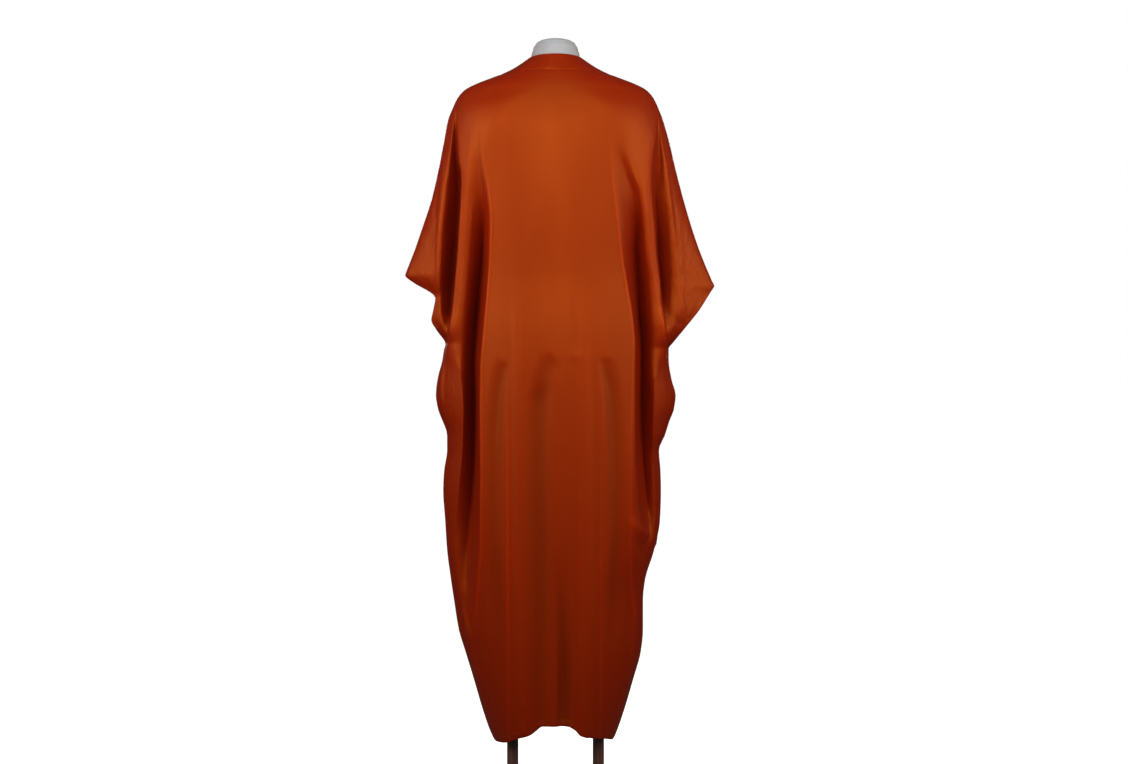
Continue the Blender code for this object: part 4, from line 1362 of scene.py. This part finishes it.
def linen_material(name, groups):
    """Pale grey linen over the form: plain weave with slubs."""
    drift, weave, _ = groups
    material, nodes, shader = new_material(name)
    cloth = nodes.cloth()
    body = nodes.body()
    tone = place_group(nodes, drift, Vector=body, Light=LINEN_LIGHT, Deep=LINEN_DEEP, Scale=14.0, Amount=0.6)
    threads = place_group(nodes, weave, Vector=cloth, Pitch=0.0016, Slub=0.7).outputs
    shade = nodes.scaled(threads["Mask"], 0.10, 0.92)
    colour = nodes.mix(1.0, tone.outputs["Color"], shade, "MULTIPLY")
    finish(nodes, shader, colour, nodes.scaled(threads["Mask"], 0.08, 0.80), threads["Height"], 0.5)
    return material


def wood_material(name, groups):
    """Dark brown polish over wood: grain along the post, small dull rubs."""
    drift, _, streaks = groups
    material, nodes, shader = new_material(name)
    body = nodes.body()
    grain = place_group(nodes, streaks, Vector=body, Fine=(420.0, 420.0, 9.0), Contrast=1.6)
    tone = place_group(nodes, drift, Vector=body, Light=WOOD_LIGHT, Deep=WOOD_DEEP, Scale=9.0, Amount=0.7)
    colour = nodes.mix(grain.outputs["Value"], WOOD_DEEP, tone.outputs["Color"])
    rough = nodes.scaled(tone.outputs["Mask"], 0.10, 0.22)
    finish(nodes, shader, colour, rough, grain.outputs["Value"], 0.15)
    shader.inputs["Coat Roughness"].default_value = 0.12
    shader.inputs["Coat Weight"].default_value = 0.6
    return material


def enamel_material(name, groups):
    """Dark enamel on the steel plate: fine orange peel, a little dust."""
    material, nodes, shader = new_material(name)
    body = nodes.body()
    tone = place_group(
        nodes, groups[0], Vector=body, Light=ENAMEL_LIGHT, Deep=ENAMEL_DEEP, Scale=22.0, Amount=0.8
    ).outputs
    rough = nodes.scaled(tone["Mask"], 0.14, 0.42)
    finish(nodes, shader, tone["Color"], rough, nodes.noise(body, 900.0, 2.0), 0.12)
    return material


def stage_material():
    """White floor: it looks near white and throws little light back on the cloth."""
    material, nodes, shader = new_material("white floor")
    seen = nodes.add("LightPath").outputs["Is Camera Ray"]
    nodes.give(shader, "Base Color", nodes.mix(seen, FLOOR_BOUNCE, FLOOR_SEEN))
    far = nodes.add("VectorMath", {"operation": "LENGTH"})
    nodes.give(far, "0", nodes.body())
    glow = nodes.add("MapRange", {"interpolation_type": "SMOOTHSTEP"}, Value=far.outputs["Value"])
    for label, value in zip(("From Min", "From Max", "To Min", "To Max"), FLOOR_GLOW_REACH + FLOOR_GLOW):
        nodes.give(glow, label, value)
    nodes.give(shader, "Emission Strength", nodes.math("MULTIPLY", seen, glow.outputs[0]))
    shader.inputs["Emission Color"].default_value = (1, 1, 1, 1)
    shader.inputs["Specular IOR Level"].default_value = 0.0
    shader.inputs["Roughness"].default_value = 0.9
    return material


def build_stage():
    """A wide flat floor and a world that the camera sees as white."""
    mesh = bpy.data.meshes.new("floor")
    half = FLOOR_SIZE / 2
    corners = [(-half, -half, 0), (half, -half, 0), (half, half, 0), (-half, half, 0)]
    mesh.from_pydata(corners, [], [(0, 1, 2, 3)])
    mesh.materials.append(stage_material())
    floor = bpy.data.objects.new("floor", mesh)
    floor.location.z = -FLOOR_DROP
    bpy.context.scene.collection.objects.link(floor)
    world = bpy.data.worlds.new("studio")
    world.use_nodes = True
    bpy.context.scene.world = world
    nodes = Nodes(world.node_tree)
    path = nodes.add("LightPath")
    surround = world.node_tree.nodes["Background"]
    nodes.give(surround, "Color", nodes.mix(path.outputs["Is Camera Ray"], SURROUND, (1, 1, 1, 1)))


def add_light(name, place, target, size, watts, colour):
    """A wide lamp that points at its target."""
    data = bpy.data.lights.new(name, "AREA")
    data.shape = "RECTANGLE"
    data.size, data.size_y = size
    data.spread = math.radians(LIGHT_SPREAD)
    data.energy = watts
    data.color = colour
    light = bpy.data.objects.new(name, data)
    light.location = place
    light.rotation_euler = (Vector(target) - Vector(place)).to_track_quat("-Z", "Y").to_euler()
    bpy.context.scene.collection.objects.link(light)


def add_camera():
    """A level camera behind the garment, as in the photograph."""
    data = bpy.data.cameras.new("camera")
    data.lens = CAMERA_LENS
    camera = bpy.data.objects.new("camera", data)
    camera.location = CAMERA_PLACE
    camera.rotation_euler = (math.radians(90), 0, math.radians(180))
    bpy.context.scene.collection.objects.link(camera)
    bpy.context.scene.camera = camera


def take_place(piece, slot, *nodes):
    """The piece rides on the part's one body, in place of the CAD nodes."""
    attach(piece, "root")
    if nodes:
        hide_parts(*nodes)


def main():
    groups = (drift_group(), weave_group(), streak_group())
    satin = satin_material("burnt orange satin", groups, SATIN_LIGHT, SATIN_DEEP)
    thread = satin_material("orange thread", groups, THREAD_LIGHT, SATIN_LIGHT)
    linen = linen_material("pale linen", groups)
    runs = []
    for name, face, node in (("back_cloth", BACK, "back"), ("front_cloth", FRONT, "front")):
        panel, grid = build_panel(name, face, satin)
        take_place(panel, "satin", node)
        runs += stitch_runs(grid)
    band = build_neck_band(satin)
    take_place(band, "satin", "neck_band")
    stitches = build_stitches("edge_stitches", runs, thread)
    take_place(stitches, "satin")
    form = build_form(linen)
    take_place(form, "linen", "form")
    wood = wood_material("dark polished wood", groups)
    enamel = enamel_material("dark enamel", groups)
    for node, material in (("post_left", wood), ("post_right", wood), ("base", enamel)):
        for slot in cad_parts[node].material_slots:
            slot.material = material
    build_stage()
    for light in LIGHTS:
        add_light(*light)
    add_camera()
    bpy.context.scene.view_settings.view_transform = "Standard"


main()
